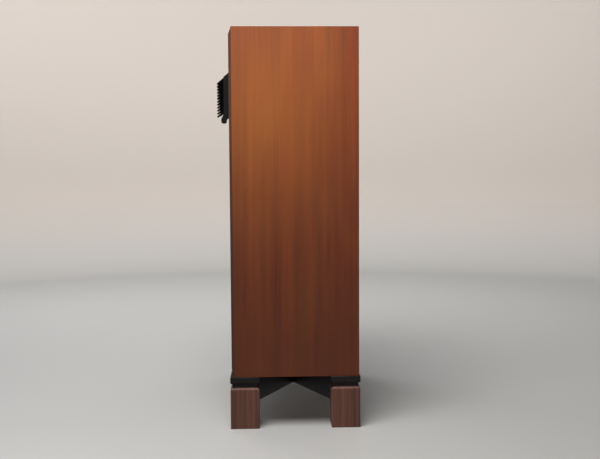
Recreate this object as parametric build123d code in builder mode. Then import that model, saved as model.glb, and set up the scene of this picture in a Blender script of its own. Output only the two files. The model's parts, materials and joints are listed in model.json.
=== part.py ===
"""Four-way floor-standing studio monitor loudspeaker with a slant-plate acoustic lens, on a block-leg stand.

The cabinet is a mitred veneered box whose front edges are bevelled towards a recessed baffle. The baffle
carries an 18 inch woofer, a 10 inch midrange in its own chamber, a horn with its compression driver and
lens, a slot tweeter, two ports and a plate with three level controls. Frame: millimetres, +Z up, the front
faces -Y, and the origin is on the floor under the middle of the bounding box.
"""

from build123d import *
import os
from dataclasses import dataclass
from math import atan2, cos, degrees, exp, hypot, log, radians, sin, sqrt, tan

# ---- Driving dimensions -------------------------------------------------------------------------------

# Cabinet
cabinet_width = 768.0
cabinet_height = 1226.0
cabinet_depth = 454.0
panel = 24.0  # side, top and bottom panels
bevel = 11.0  # how far the inner front edge of a panel stands ahead of its outer one
baffle_recess = 20.0  # from the front edges back to the baffle
baffle_thickness = 25.0
back_thickness = 22.0
back_recess = 3.0
seam = 0.2  # clearance round a panel that is let in between others
cleat = 20.0  # square batten behind the baffle and in front of the back panel
shelf_thickness = 18.0
shelf_clearance = 18.0  # from the woofer's hole up to the shelf
pad_thickness = 25.0
pad_gap = 3.0  # from a pad to the cleats and pads beside it

# Stand
leg_size = 102.0
leg_height = 148.0
leg_ease = 7.0  # chamfer round the top of a leg
cap_margin = 0.5  # the caps reach this far past the legs on every side
cap_height = 24.0
cap_ease = 4.0  # chamfer round the underside of a cap
groove_height = 13.0
groove_inset = 7.0
stand_overhang = 4.0  # the caps stand this far proud of the cabinet
brace_thickness = 28.0
brace_bottom = 72.0  # height of the braces' lower edge above the floor

# Where things sit on the baffle: x from the middle, z above the cabinet's underside
woofer_at = (0.0, 335.0)
midrange_at = (-130.0, 745.0)
horn_at = (74.0, cabinet_height - 183.0)
slot_tweeter_at = (-232.0, cabinet_height - 176.0)
control_at = (205.0, 852.0)
port_at = ((120.0, 668.0), (268.0, 668.0))
port_radius = 50.0
port_wall = 3.0
port_length = 165.0
woofer_cutout = 214.0  # radius of the woofer's hole
midrange_cutout = 116.0

# Chamber behind the midrange
chamber_wall = 15.0
chamber_depth = 190.0
chamber_margin = 5.0  # from the midrange's hole to the chamber's inner walls

# Horn, lens and compression driver
mouth_radius = 55.0
throat_radius = 12.7
horn_length = 200.0
horn_wall = 4.0
horn_flange = (260.0, 160.0, 6.0)
horn_corner = 8.0
horn_screw_inset = 12.0
lens_width = 310.0
lens_plates_count = 12
lens_pitch = 10.9
lens_slope = 40.0
lens_sheet = 1.2
lens_reach = 51.0  # how far the plate tips stand ahead of the cabinet's front edges
lens_standoff = 8.0  # from the baffle to the plates' inner ends
lens_wing = 45.0  # straight tip at each end of a plate
lens_waist = 44.0  # plate length at the middle, where the notch is deepest
bracket_reach = 26.0  # how far the end brackets stand ahead of the cabinet's front edges
bracket_cover = 3.0  # of a bracket over the highest plate
bracket_foot = 15.0
bracket_screw_rise = 34.0
bracket_screw_margin = 9.0  # from a foot's screws to its ends
bracket_drop = 28.0  # from the lowest plate at the brackets' front edge down to their lower edge
lug = (21.0, 23.5)  # rounded tab at the foot of the right bracket, front to back and up
lug_lead = 9.5  # of the tab ahead of the bracket's front edge
lug_rise = 4.7  # of the tab's top above the bracket's lower edge
lug_corner = 8.0
driver_body_radius = 75.0
driver_body_length = 62.0
driver_cover_radius = 66.0
driver_cover_length = 22.0
cover_round = 12.0
cover_wall = 4.0
diaphragm_radius = 44.0
diaphragm_rim = 6.0
diaphragm_rise = 9.0
diaphragm_sheet = 0.5
cavity_depth = 14.0  # rear hollow of the driver body, in which the diaphragm sits

# Slot tweeter
slot_body_radius = 38.0
slot_flange_radius = slot_body_radius + 13.0
slot_screw_inset = 6.0
slot_flange = 7.0
slot_body_length = 42.0
slot_magnet_length = 40.0
slot_height = 72.0
slot_mouth = 24.0
slot_throat = 5.0
slot_narrowing = 0.7  # share of the body's length over which the slot narrows
slot_shortening = 0.8  # height of the throat as a share of the mouth's
wedge_width = 6.8
wedge_tip = 1.0
wedge_inset = 3.0  # from the flange's face back to the wedge's widest place
wedge_crown = 4.5

# Level controls
control_plate = (210.0, 84.0, 2.0)
plate_corner = 4.0
plate_screw_inset = 8.0
cutout_margin = 3.0  # round the attenuators in the baffle
knob_spacing = 64.0
knob_radius = 15.0
knob_height = 13.0
knob_ease = 1.2
knob_flutes = 24
flute_radius = 1.2
flute_start = 2.0  # from the knob's base
pointer = (1.6, 0.8)  # width and height of the ridge on a knob
knob_gap = 0.8
shaft_radius = 3.0
shaft_slack = 0.5  # round a shaft where it passes the control plate
shaft_share = 0.6  # of an attenuator's depth that the shaft enters
attenuator_radius = 21.0
attenuator_depth = 30.0

# Terminal cup on the back
cup_size = (120.0, 84.0)
cup_rim = 9.0
cup_depth = 32.0
cup_wall = 3.0
cup_corner = 5.0
cup_slack = 1.0  # round the cup in the back panel
boss_height = 3.0
terminal_z = 330.0
terminal_spacing = 40.0
stud_radius = 3.0
socket_radius = 2.05
socket_depth = 15.0
nut_radius = 8.0
nut_height = 15.0
nut_flutes = 12
nut_flute = 1.3
washer_thickness = 1.2
washer_gap = 0.3
stud_show = 1.0  # of a stud past its nut
stud_tail = 12.0  # solder end of a stud behind the cup
running = 0.08  # radial clearance of a shaft or thread that turns
pressed = 0.05  # radial clearance of a stud in its boss

# Screws
screw_radius = 2.4
screw_head_radius = 4.6
screw_head_height = 3.2
screw_length = 20.0
screw_clearance = 0.3
screw_bite = 0.1  # radial clearance of a screw in the baffle
socket = (2.4, 2.0)  # corner radius and depth of the hexagon in a screw's head

# Crossover, on the bottom panel behind the woofer
board_size = (300.0, 130.0, 8.0)
board_standoff = 10.0
board_gap = 14.0  # from the cleat to the board
board_foot = 5.0
board_foot_inset = 10.0
coil_inset = 34.0  # from the board's front edge to the coils' axes
capacitor_inset = 20.0
coils = ((-112, 30, 12, 34), (-38, 26, 11, 28), (32, 22, 9, 24), (92, 18, 8, 20))  # x, outer, inner, height
capacitor = (11.0, 44.0, 3.0, 6)  # radius, length, gap and count


@dataclass
class ConeDriver:
    """A cone driver's sizes. Depths run back from the baffle's front face."""

    name: str
    at: tuple
    frame_radius: float
    cutout_radius: float
    screw_circle: float
    flange: float
    wall: float
    frame_depth: float
    rear_radius: float
    rear_ring: float
    windows: int
    cone_radius: float
    lip: float
    roll: float
    neck_depth: float
    former_radius: float
    cap_radius: float
    cap_height: float
    plate_radius: float
    plate: float
    magnet_radius: float
    magnet: float
    yoke: float
    travel: float
    ribs: int
    screws: int


woofer = ConeDriver(
    name="woofer", at=woofer_at, frame_radius=woofer_cutout + 17, cutout_radius=woofer_cutout,
    screw_circle=woofer_cutout + 9.5, flange=8, wall=6, frame_depth=105, rear_radius=118, rear_ring=8,
    windows=8, cone_radius=woofer_cutout - 29, lip=5, roll=11, neck_depth=78,
    former_radius=50.6, cap_radius=64, cap_height=17, plate_radius=100, plate=10, magnet_radius=110,
    magnet=26, yoke=12, travel=9, ribs=5, screws=8,
)
midrange = ConeDriver(
    name="midrange", at=midrange_at, frame_radius=midrange_cutout + 14, cutout_radius=midrange_cutout,
    screw_circle=midrange_cutout + 7.5, flange=6, wall=4, frame_depth=62, rear_radius=76, rear_ring=6,
    windows=6, cone_radius=midrange_cutout - 19, lip=4, roll=5.5, neck_depth=46,
    former_radius=38.2, cap_radius=46, cap_height=12, plate_radius=66, plate=8, magnet_radius=73,
    magnet=18, yoke=9, travel=3, ribs=3, screws=6,
)

# Thin sheets and gaps of the cone drivers
paper = 1.2  # cone
cap_paper = 0.8  # dust cap
rib = (2.2, 1.5)  # half width and height of a cone's ribs
foam = 1.0  # surround
cloth = 0.8  # spider
wave = 2.4  # height of the spider's folds
fold_width = 14.0  # of a whole fold, about
spider_drop = 5.0  # from the cone's neck back to the spider
glue_land = 2.0  # flat ring of the spider round the former
former_start = 4.0  # of the coil former ahead of the cone's neck
gasket_height = 4.0
ledge_width = 8.0  # of the ring in the basket that the spider is glued to
ledge_thickness = 4.0
glue_gap = 0.3  # between the moving cone and the fixed surround or spider
former_wall = 0.4
winding = 0.8
pole_gap = 0.9
plate_gap = 1.2
basket_clearance = 1.5  # the basket in the baffle's hole
rear_hole = 6.0  # of the basket round the former
magnet_hole = 12.0  # of the magnet round the former
pole_rise = 3.0  # of the pole ahead of the top plate
window_span = (0.16, 0.9)  # where the basket's windows start and end, as shares of its depth
window_share = 0.62  # of the basket's circumference that is window
window_sill = 2.0
lip_margin = 5.5  # from the screw circle to the surround's outer edge
trim_gap = 1.5  # from the roll to the gasket

# ---- Derived places -----------------------------------------------------------------------------------

stand_height = leg_height + groove_height + cap_height
cap_size = leg_size + 2 * cap_margin
total_depth = cabinet_depth + lens_reach + stand_overhang
x_side = cabinet_width / 2
y_front = lens_reach - total_depth / 2
y_back = y_front + cabinet_depth
y_middle = (y_front + y_back) / 2
z_bottom = stand_height
z_top = stand_height + cabinet_height
z_middle = (z_bottom + z_top) / 2
inner_width = cabinet_width - 2 * panel
inner_height = cabinet_height - 2 * panel
y_baffle = y_front + baffle_recess
y_baffle_back = y_baffle + baffle_thickness
y_back_face = y_back - back_recess
y_back_inside = y_back_face - back_thickness
leg_x = x_side + stand_overhang - cap_size / 2
leg_y = (y_front - stand_overhang + cap_size / 2, y_back + stand_overhang - cap_size / 2)
z_terminal = z_bottom + terminal_z
z_shelf = z_bottom + woofer_at[1] + woofer.cutout_radius + shelf_clearance
y_cup_floor = y_back_face - cup_depth + cup_wall  # outer side of the cup's floor
y_washer = y_cup_floor + boss_height + washer_gap
y_nut = y_washer + washer_thickness + washer_gap
y_stud_end = y_nut + nut_height + stud_show
y_board = y_back_inside - cleat - board_size[1] / 2 - board_gap
z_board = z_bottom + panel + board_standoff
z_parts = z_board + board_size[2]
lens_fall = radians(lens_slope)
lens_run = (lens_reach + baffle_recess - lens_standoff) / cos(lens_fall)  # length of a plate along its slope
lens_top = horn_at[1] + (lens_plates_count - 1) * lens_pitch / 2  # inner end of the highest plate

front_face = Plane.XZ.offset(-y_front)
baffle_face = Plane.XZ.offset(-y_baffle)
baffle_rear = Plane.XZ.offset(-y_baffle_back)
rear_face = Plane.XZ.offset(-y_back_face)
rearwards = -1  # an XZ plane's normal points to the front, so depth runs against it

os.makedirs("parts", exist_ok=True)
written = []


def write(piece, name):
    """Labels a finished piece and writes it as its own STEP file."""
    piece.part.label = name
    export_step(piece.part, f"parts/{name}.step")
    written.append(name)


def on_baffle(at):
    """A place on the baffle as a point of an XZ plane."""
    return (at[0], z_bottom + at[1])


def section(at):
    """The plane through a driver's axis in which x is the radius and y the depth behind the baffle's face."""
    return Plane(origin=(at[0], y_baffle, z_bottom + at[1]), x_dir=(1, 0, 0), z_dir=(0, 0, 1))


def driver_axis(at):
    """The front-to-back axis of whatever sits at this place on the baffle."""
    return Axis((at[0], y_baffle, z_bottom + at[1]), (0, 1, 0))


def turned(at, outline):
    """A solid of revolution about the axis at this place, from an outline of (radius, depth) points."""
    with BuildPart() as ring:
        with BuildSketch(section(at)):
            with BuildLine():
                Polyline(*outline, close=True)
            make_face()
        revolve(axis=driver_axis(at))
    return ring


def ring_outline(inner, outer, front, back):
    """The (radius, depth) outline of a plain ring."""
    return [(inner, front), (outer, front), (outer, back), (inner, back)]


# ---- Cabinet ------------------------------------------------------------------------------------------


def side_panel():
    """The right side: mitred at both ends, bevelled along its front edge."""
    with BuildPart() as side:
        with BuildSketch(front_face):
            with BuildLine():
                Polyline(
                    (x_side, z_bottom), (x_side, z_top), (x_side - panel, z_top - panel),
                    (x_side - panel, z_bottom + panel), close=True,
                )
            make_face()
        extrude(amount=rearwards * cabinet_depth)
        with BuildSketch(Plane.XY.offset(z_bottom)):
            with BuildLine():
                Polyline((x_side, y_front), (x_side, y_front + bevel), (x_side - panel, y_front), close=True)
            make_face()
        extrude(amount=cabinet_height, mode=Mode.SUBTRACT)
    return side


def end_panel(z_outer, inwards):
    """The top (inwards -1) or bottom (inwards +1): mitred at both ends, bevelled along its front edge."""
    z_inner = z_outer + inwards * panel
    with BuildPart() as end:
        with BuildSketch(front_face):
            with BuildLine():
                Polyline(
                    (-x_side, z_outer), (x_side, z_outer), (x_side - panel, z_inner),
                    (panel - x_side, z_inner), close=True,
                )
            make_face()
        extrude(amount=rearwards * cabinet_depth)
        with BuildSketch(Plane.YZ.offset(-x_side)):
            with BuildLine():
                Polyline((y_front, z_outer), (y_front + bevel, z_outer), (y_front, z_inner), close=True)
            make_face()
        extrude(amount=cabinet_width, mode=Mode.SUBTRACT)
    return end


def screw_places():
    """Every front screw: (x, z, depth of the face its head sits on, counted back from the baffle)."""
    places = []
    for driver in (woofer, midrange):
        x, z = on_baffle(driver.at)
        for k in range(driver.screws):
            turn = radians(360 * (k + 0.5) / driver.screws)
            across, up = driver.screw_circle * cos(turn), driver.screw_circle * sin(turn)
            places.append((x + across, z + up, -driver.flange))
    x, z = on_baffle(horn_at)
    for across in (-1, 1):
        for up in (-1, 1):
            side, rise = horn_flange[0] / 2 - horn_screw_inset, horn_flange[1] / 2 - horn_screw_inset
            places.append((x + across * side, z + up * rise, -horn_flange[2]))
    for across in (-1, 1):
        for up in (-1, 1):
            foot_x = x + across * (lens_width / 2 + bracket_foot / 2)
            places.append((foot_x, z + up * bracket_screw_rise, -lens_sheet))
    x, z = on_baffle(slot_tweeter_at)
    for turn in (45, 135, 225, 315):
        circle = slot_flange_radius - slot_screw_inset
        places.append((x + circle * cos(radians(turn)), z + circle * sin(radians(turn)), -slot_flange))
    x, z = on_baffle(control_at)
    for across in (-1, 1):
        for up in (-1, 1):
            side = control_plate[0] / 2 - plate_screw_inset
            rise = control_plate[1] / 2 - plate_screw_inset
            places.append((x + across * side, z + up * rise, -control_plate[2]))
    return places


def front_baffle():
    """The baffle with a hole for each thing that it carries."""
    cutout = 2 * (attenuator_radius + cutout_margin)
    with BuildPart() as baffle:
        with BuildSketch(baffle_face):
            with Locations((0, z_middle)):
                Rectangle(inner_width - 2 * seam, inner_height - 2 * seam)
            for driver in (woofer, midrange):
                with Locations(on_baffle(driver.at)):
                    Circle(driver.cutout_radius, mode=Mode.SUBTRACT)
            with Locations(on_baffle(horn_at)):
                Circle(mouth_radius + horn_wall + basket_clearance, mode=Mode.SUBTRACT)
            with Locations(on_baffle(slot_tweeter_at)):
                Circle(slot_body_radius + basket_clearance, mode=Mode.SUBTRACT)
            with Locations(*[on_baffle(at) for at in port_at]):
                Circle(port_radius + port_wall + seam, mode=Mode.SUBTRACT)
            with Locations(on_baffle(control_at)):
                Rectangle(2 * knob_spacing + cutout, cutout, mode=Mode.SUBTRACT)
            with Locations(*[(x, z) for x, z, _ in screw_places()]):
                Circle(screw_radius + screw_bite, mode=Mode.SUBTRACT)
        extrude(amount=rearwards * baffle_thickness)
    return baffle


def back_panel():
    """The back, let in between the other panels, with a cut-out for the terminal cup."""
    with BuildPart() as back:
        with BuildSketch(Plane.XZ.offset(-y_back_inside)):
            with Locations((0, z_middle)):
                Rectangle(inner_width - 2 * seam, inner_height - 2 * seam)
            with Locations((0, z_terminal)):
                Rectangle(cup_size[0] + 2 * cup_slack, cup_size[1] + 2 * cup_slack, mode=Mode.SUBTRACT)
        extrude(amount=rearwards * back_thickness)
    return back


def panel_cleats():
    """Battens round the inside that the baffle and the back panel are glued and screwed to."""
    with BuildPart() as cleats:
        for y_start in (y_baffle_back + seam, y_back_inside - seam - cleat):
            with BuildSketch(Plane.XZ.offset(-y_start)):
                with Locations((0, z_bottom + panel + cleat / 2), (0, z_top - panel - cleat / 2)):
                    Rectangle(inner_width - 2 * seam, cleat - 2 * seam)
                x_cleat = (inner_width - cleat) / 2
                with Locations((-x_cleat, z_middle), (x_cleat, z_middle)):
                    Rectangle(cleat - 2 * seam, inner_height - 2 * cleat - 2 * seam)
            extrude(amount=rearwards * cleat)
    return cleats


def shelf_brace():
    """A windowed shelf that ties the baffle to the back and both sides together above the woofer."""
    depth = y_back_inside - y_baffle_back - 2 * seam
    y_shelf = (y_back_inside + y_baffle_back) / 2
    window = (inner_width - 5 * cleat) / 3
    with BuildPart() as shelf:
        with BuildSketch(Plane.XY.offset(z_shelf)):
            with Locations((0, y_shelf)):
                Rectangle(inner_width - 2 * seam, depth)
            with Locations((0, y_shelf)):
                with GridLocations(inner_width - cleat, depth - cleat + 2 * seam, 2, 2):
                    Rectangle(cleat + 4 * seam, cleat + 4 * seam, mode=Mode.SUBTRACT)
            with Locations((0, y_shelf)):
                with GridLocations(window + cleat, 0, 3, 1):
                    RectangleRounded(window, depth - 5 * cleat, cleat, mode=Mode.SUBTRACT)
        extrude(amount=shelf_thickness)
    return shelf


def damping_pads():
    """Glass-wool pads on the side walls, the top and the upper back, clear of cleats and shelf."""
    x_wall = inner_width / 2 - seam
    x_inside = x_wall - pad_thickness - pad_gap
    y_near = y_baffle_back + seam + cleat + pad_gap
    y_far = y_back_inside - seam - cleat - pad_gap
    y_rear = y_back_inside - seam
    z_low = z_bottom + panel + cleat + pad_gap
    z_under = z_shelf - pad_gap
    z_over = z_shelf + shelf_thickness + pad_gap
    z_high = z_top - panel - cleat - pad_gap
    z_roof = z_top - panel - seam
    corners = []
    for x_low, x_high in ((-x_wall, pad_thickness - x_wall), (x_wall - pad_thickness, x_wall)):
        corners.append(((x_low, y_near, z_low), (x_high, y_far, z_under)))
        corners.append(((x_low, y_near, z_over), (x_high, y_far, z_high)))
    corners.append(((-x_inside, y_near, z_roof - pad_thickness), (x_inside, y_far, z_roof)))
    z_upper = z_roof - 2 * pad_thickness
    corners.append(((-x_inside, y_rear - pad_thickness, z_over), (x_inside, y_rear, z_upper)))
    with BuildPart() as pads:
        for low, high in corners:
            with Locations(tuple((a + b) / 2 for a, b in zip(low, high))):
                Box(*[b - a for a, b in zip(low, high)])
    return pads


def midrange_chamber():
    """The closed box behind the midrange that keeps the woofer's pressure off its cone."""
    inside = 2 * (midrange.cutout_radius + chamber_margin)
    with BuildPart() as chamber:
        with BuildSketch(baffle_rear.offset(-seam)):
            with Locations(on_baffle(midrange_at)):
                Rectangle(inside + 2 * chamber_wall, inside + 2 * chamber_wall)
        extrude(amount=rearwards * chamber_depth)
        with BuildSketch(baffle_rear.offset(-seam)):
            with Locations(on_baffle(midrange_at)):
                Rectangle(inside, inside)
        extrude(amount=rearwards * (chamber_depth - chamber_wall), mode=Mode.SUBTRACT)
    return chamber


def port_tubes():
    """Two plain tubes, flush with the baffle's front."""
    with BuildPart() as tubes:
        with BuildSketch(baffle_face):
            with Locations(*[on_baffle(at) for at in port_at]):
                Circle(port_radius + port_wall)
                Circle(port_radius, mode=Mode.SUBTRACT)
        extrude(amount=rearwards * port_length)
    return tubes


# ---- Cone drivers -------------------------------------------------------------------------------------


def basket_inner(d, depth):
    """Inner radius of the basket's wall at a depth."""
    start = d.cutout_radius - basket_clearance - d.wall
    return start + (d.rear_radius - d.wall - start) * depth / d.frame_depth


def spider_depth(d):
    return d.neck_depth + spider_drop


def basket(d):
    """Cast frame: flange, sloping wall with windows, spider ledge and rear ring."""
    top = d.cutout_radius - basket_clearance
    rear_back = d.frame_depth + d.rear_ring
    outline = [
        (top - d.wall, -d.flange), (d.frame_radius, -d.flange), (d.frame_radius, 0), (top, 0),
        (d.rear_radius, d.frame_depth), (d.rear_radius, rear_back), (d.former_radius + rear_hole, rear_back),
        (d.former_radius + rear_hole, d.frame_depth), (d.rear_radius - d.wall, d.frame_depth),
        (top - d.wall, 0),
    ]
    window_front, window_back = (share * d.frame_depth for share in window_span)
    sweep = radians(360 / d.windows * window_share / 2)
    reach = 2 * d.frame_radius
    x, z = on_baffle(d.at)
    level = spider_depth(d)
    ledge = basket_inner(d, level)
    shell = turned(d.at, outline)
    ledge_outline = ring_outline(ledge - ledge_width, ledge + d.wall / 2, level, level + ledge_thickness)
    ledge_ring = turned(d.at, ledge_outline)
    with BuildPart() as frame:
        add(shell.part)
        with BuildSketch(Plane.XZ.offset(-(y_baffle + window_front))):
            with Locations((x, z)):
                with PolarLocations(0, d.windows):
                    with BuildLine():
                        Polyline(
                            (0, 0), (reach * cos(sweep), reach * sin(sweep)),
                            (reach * cos(sweep), -reach * sin(sweep)), close=True,
                        )
                    make_face()
                Circle(basket_inner(d, window_back) - window_sill, mode=Mode.SUBTRACT)
        extrude(amount=rearwards * (window_back - window_front), mode=Mode.SUBTRACT)
        add(ledge_ring.part)
        with BuildSketch(Plane.XZ.offset(-(y_baffle - d.flange))):
            with Locations((x, z)):
                with PolarLocations(d.screw_circle, d.screws, start_angle=180 / d.screws):
                    Circle(screw_radius + screw_clearance)
        extrude(amount=rearwards * d.flange, mode=Mode.SUBTRACT)
    return frame


def top_plate(d):
    front = d.frame_depth + d.rear_ring
    inner = d.former_radius + winding + plate_gap
    return turned(d.at, ring_outline(inner, d.plate_radius, front, front + d.plate))


def magnet_ring(d):
    front = d.frame_depth + d.rear_ring + d.plate
    return turned(d.at, ring_outline(d.former_radius + magnet_hole, d.magnet_radius, front, front + d.magnet))


def yoke(d):
    """Back plate and pole in one, with a vent through the middle."""
    plate_front = d.frame_depth + d.rear_ring
    front = plate_front + d.plate + d.magnet
    pole = d.former_radius - former_wall - pole_gap
    vent = pole / 4
    outline = [
        (vent, plate_front - pole_rise), (pole, plate_front - pole_rise), (pole, front),
        (d.plate_radius, front),
        (d.plate_radius, front + d.yoke), (vent, front + d.yoke),
    ]
    return turned(d.at, outline)


def midrange_motor():
    """The midrange's plates, magnet and pole, glued into one."""
    pieces = [top_plate(midrange), magnet_ring(midrange), yoke(midrange)]
    with BuildPart() as motor:
        for piece in pieces:
            add(piece.part)
    return motor


def cone_front(d, radius):
    """Depth of the cone's front surface at a radius."""
    rim = glue_gap - d.flange
    share = (radius - d.former_radius) / (d.cone_radius - d.lip - d.former_radius)
    return d.neck_depth + (rim - d.neck_depth) * share


def cone(d):
    """Paper cone with concentric ribs and a flat rim under the surround."""
    rib_width, rib_rise = rib
    rim = glue_gap - d.flange
    front = [(d.former_radius, d.neck_depth)]
    for k in range(d.ribs):
        radius = d.cap_radius + (d.cone_radius - d.lip - d.cap_radius) * (k + 1) / (d.ribs + 1)
        front.append((radius - rib_width, cone_front(d, radius - rib_width)))
        front.append((radius, cone_front(d, radius) - rib_rise))
        front.append((radius + rib_width, cone_front(d, radius + rib_width)))
    front += [(d.cone_radius - d.lip, rim), (d.cone_radius, rim)]
    back = [(d.cone_radius, rim + paper), (d.cone_radius - d.lip, rim + paper)]
    back.append((d.former_radius, d.neck_depth + paper))
    return turned(d.at, front + back)


def dust_cap(d):
    """Domed cap glued over the middle of the cone."""
    base = cone_front(d, d.cap_radius) - glue_gap / 2
    sphere = (d.cap_radius**2 + d.cap_height**2) / (2 * d.cap_height)
    hollow = sphere - cap_paper
    inner_edge = sqrt(hollow**2 - (sphere - d.cap_height) ** 2)
    centre = base - d.cap_height + sphere

    def on_sphere(size, radius):
        return (radius, centre - sqrt(size**2 - radius**2))

    with BuildPart() as cap:
        with BuildSketch(section(d.at)):
            with BuildLine():
                outer = ThreePointArc(
                    on_sphere(sphere, 0), on_sphere(sphere, d.cap_radius / 2), on_sphere(sphere, d.cap_radius)
                )
                inner = ThreePointArc(
                    on_sphere(hollow, 0), on_sphere(hollow, inner_edge / 2), on_sphere(hollow, inner_edge)
                )
                Line(outer @ 0, inner @ 0)
                Line(outer @ 1, inner @ 1)
            make_face()
        revolve(axis=driver_axis(d.at))
    return cap


def voice_coil(d):
    """Former with its winding, centred in the top plate."""
    middle = d.frame_depth + d.rear_ring + d.plate / 2
    half = d.plate / 2 + d.travel
    inner, outer = d.former_radius - former_wall, d.former_radius
    start = d.neck_depth - former_start
    outline = [
        (inner, start), (outer, start), (outer, middle - half), (outer + winding, middle - half),
        (outer + winding, middle + half), (inner, middle + half),
    ]
    return turned(d.at, outline)


def roll_edges(d):
    """Inner and outer radius of the surround's half roll."""
    start = d.cone_radius + foam
    return start, start + 2 * d.roll


def surround(d):
    """Foam half roll with a lip on the cone's rim and one on the frame."""
    start, end = roll_edges(d)
    middle = (start + end) / 2
    level = -d.flange
    inner_lip, outer_lip = d.cone_radius - d.lip, d.screw_circle - lip_margin
    shoulder = sqrt((d.roll + foam) ** 2 - foam**2)
    with BuildPart() as roll:
        with BuildSketch(section(d.at)):
            with BuildLine():
                Line((inner_lip, level), (start, level))
                ThreePointArc((start, level), (middle, level - d.roll), (end, level))
                far, near = (middle + shoulder, level - foam), (middle - shoulder, level - foam)
                Polyline((end, level), (outer_lip, level), (outer_lip, level - foam), far)
                ThreePointArc(far, (middle, level - d.roll - foam), near)
                Polyline(near, (inner_lip, level - foam), (inner_lip, level))
            make_face()
        revolve(axis=driver_axis(d.at))
    return roll


def spider(d):
    """Corrugated cloth disc that centres the voice coil."""
    inner = d.former_radius + glue_gap
    level = spider_depth(d)
    outer = basket_inner(d, level) - glue_gap
    land = ledge_width + glue_gap
    start = inner + glue_land
    folds = 2 * max(3, round((outer - inner) / fold_width))
    step = (outer - land - start) / folds
    near = [(inner, level), (start, level)]
    for k in range(1, folds):
        near.append((start + k * step, level + (wave if k % 2 else -wave)))
    near += [(outer - land, level), (outer, level)]
    far = [(radius, depth - cloth) for radius, depth in reversed(near)]
    return turned(d.at, near + far)


def gasket(d):
    """Flat trim ring that clamps the surround's outer lip."""
    level = -d.flange - foam
    inner, outer = roll_edges(d)[1] + trim_gap, d.screw_circle - lip_margin
    return turned(d.at, ring_outline(inner, outer, level - gasket_height, level))


# ---- Horn, lens and compression driver ----------------------------------------------------------------


def horn():
    """Round exponential horn with a rectangular flange on the baffle's face."""
    flare = log(mouth_radius / throat_radius) / horn_length
    depths = [horn_length * k / 8 for k in range(9)]
    inside = [(mouth_radius * exp(-flare * depth), depth) for depth in depths]
    outside = [(radius + horn_wall, depth) for radius, depth in inside]
    spacing = [side - 2 * horn_screw_inset for side in horn_flange[:2]]
    with BuildPart() as bell:
        with BuildSketch(section(horn_at)):
            with BuildLine():
                inner = Spline(*inside)
                outer = Spline(*outside)
                Line(inner @ 0, outer @ 0)
                Line(inner @ 1, outer @ 1)
            make_face()
        revolve(axis=driver_axis(horn_at))
        with BuildSketch(baffle_face.offset(horn_flange[2])):
            with Locations(on_baffle(horn_at)):
                RectangleRounded(horn_flange[0], horn_flange[1], horn_corner)
                Circle(mouth_radius, mode=Mode.SUBTRACT)
                with GridLocations(*spacing, 2, 2):
                    Circle(screw_radius + screw_clearance, mode=Mode.SUBTRACT)
        extrude(amount=rearwards * horn_flange[2])
    return bell


def lens_plates():
    """Parallel plates that slope down to the front, each notched at the middle by a wide arc."""
    x, _ = on_baffle(horn_at)
    half = lens_width / 2 - lens_sheet
    with BuildPart() as plates:
        for k in range(lens_plates_count):
            start = (x, y_baffle - lens_standoff, z_bottom + lens_top - k * lens_pitch)
            slope = Plane(origin=start, x_dir=(1, 0, 0), z_dir=(0, sin(lens_fall), -cos(lens_fall)))
            with BuildSketch(slope):
                with BuildLine():
                    Polyline(
                        (lens_wing - half, lens_run), (-half, lens_run), (-half, 0), (half, 0),
                        (half, lens_run), (half - lens_wing, lens_run),
                    )
                    ThreePointArc((half - lens_wing, lens_run), (0, lens_waist), (lens_wing - half, lens_run))
                make_face()
            extrude(amount=lens_sheet)
    return plates


def lens_brackets():
    """End plates that carry the lens plates, screwed to the baffle. The right one ends in a rounded tab."""
    x, z = on_baffle(horn_at)
    y_edge = y_front - bracket_reach
    fall = (y_baffle - lens_standoff - y_edge) * tan(lens_fall)
    rise = lens_standoff * tan(lens_fall)
    z_high = z_bottom + lens_top + bracket_cover
    z_edge = z_bottom + lens_top - (lens_plates_count - 1) * lens_pitch - fall - bracket_drop
    foot = 2 * (bracket_screw_rise + bracket_screw_margin)
    with BuildPart() as brackets:
        for across in (-1, 1):
            inner_x = x + across * (lens_width / 2 - lens_sheet / 2) - lens_sheet / 2
            with BuildSketch(Plane.YZ.offset(inner_x)):
                with BuildLine():
                    Polyline(
                        (y_baffle, z_high + rise), (y_edge, z_high - fall), (y_edge, z_edge),
                        (y_baffle, z_edge), close=True,
                    )
                make_face()
                if across > 0:
                    with Locations((y_edge - lug_lead + lug[0] / 2, z_edge + lug_rise - lug[1] / 2)):
                        RectangleRounded(*lug, lug_corner)
            extrude(amount=lens_sheet)
            with BuildSketch(baffle_face.offset(lens_sheet)):
                with Locations((x + across * (lens_width / 2 + bracket_foot / 2), z)):
                    Rectangle(bracket_foot, foot)
                    with GridLocations(0, 2 * bracket_screw_rise, 1, 2):
                        Circle(screw_radius + screw_clearance, mode=Mode.SUBTRACT)
            extrude(amount=rearwards * lens_sheet)
    return brackets


def compression_driver_body():
    """Magnet pot with a throat that widens into the diaphragm's cavity."""
    front, back = horn_length, horn_length + driver_body_length
    floor, cavity_radius = back - cavity_depth, diaphragm_radius + diaphragm_rim
    outline = [
        (throat_radius, front), (driver_body_radius, front), (driver_body_radius, back),
        (cavity_radius, back), (cavity_radius, floor), (throat_radius, floor),
    ]
    return turned(horn_at, outline)


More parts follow.
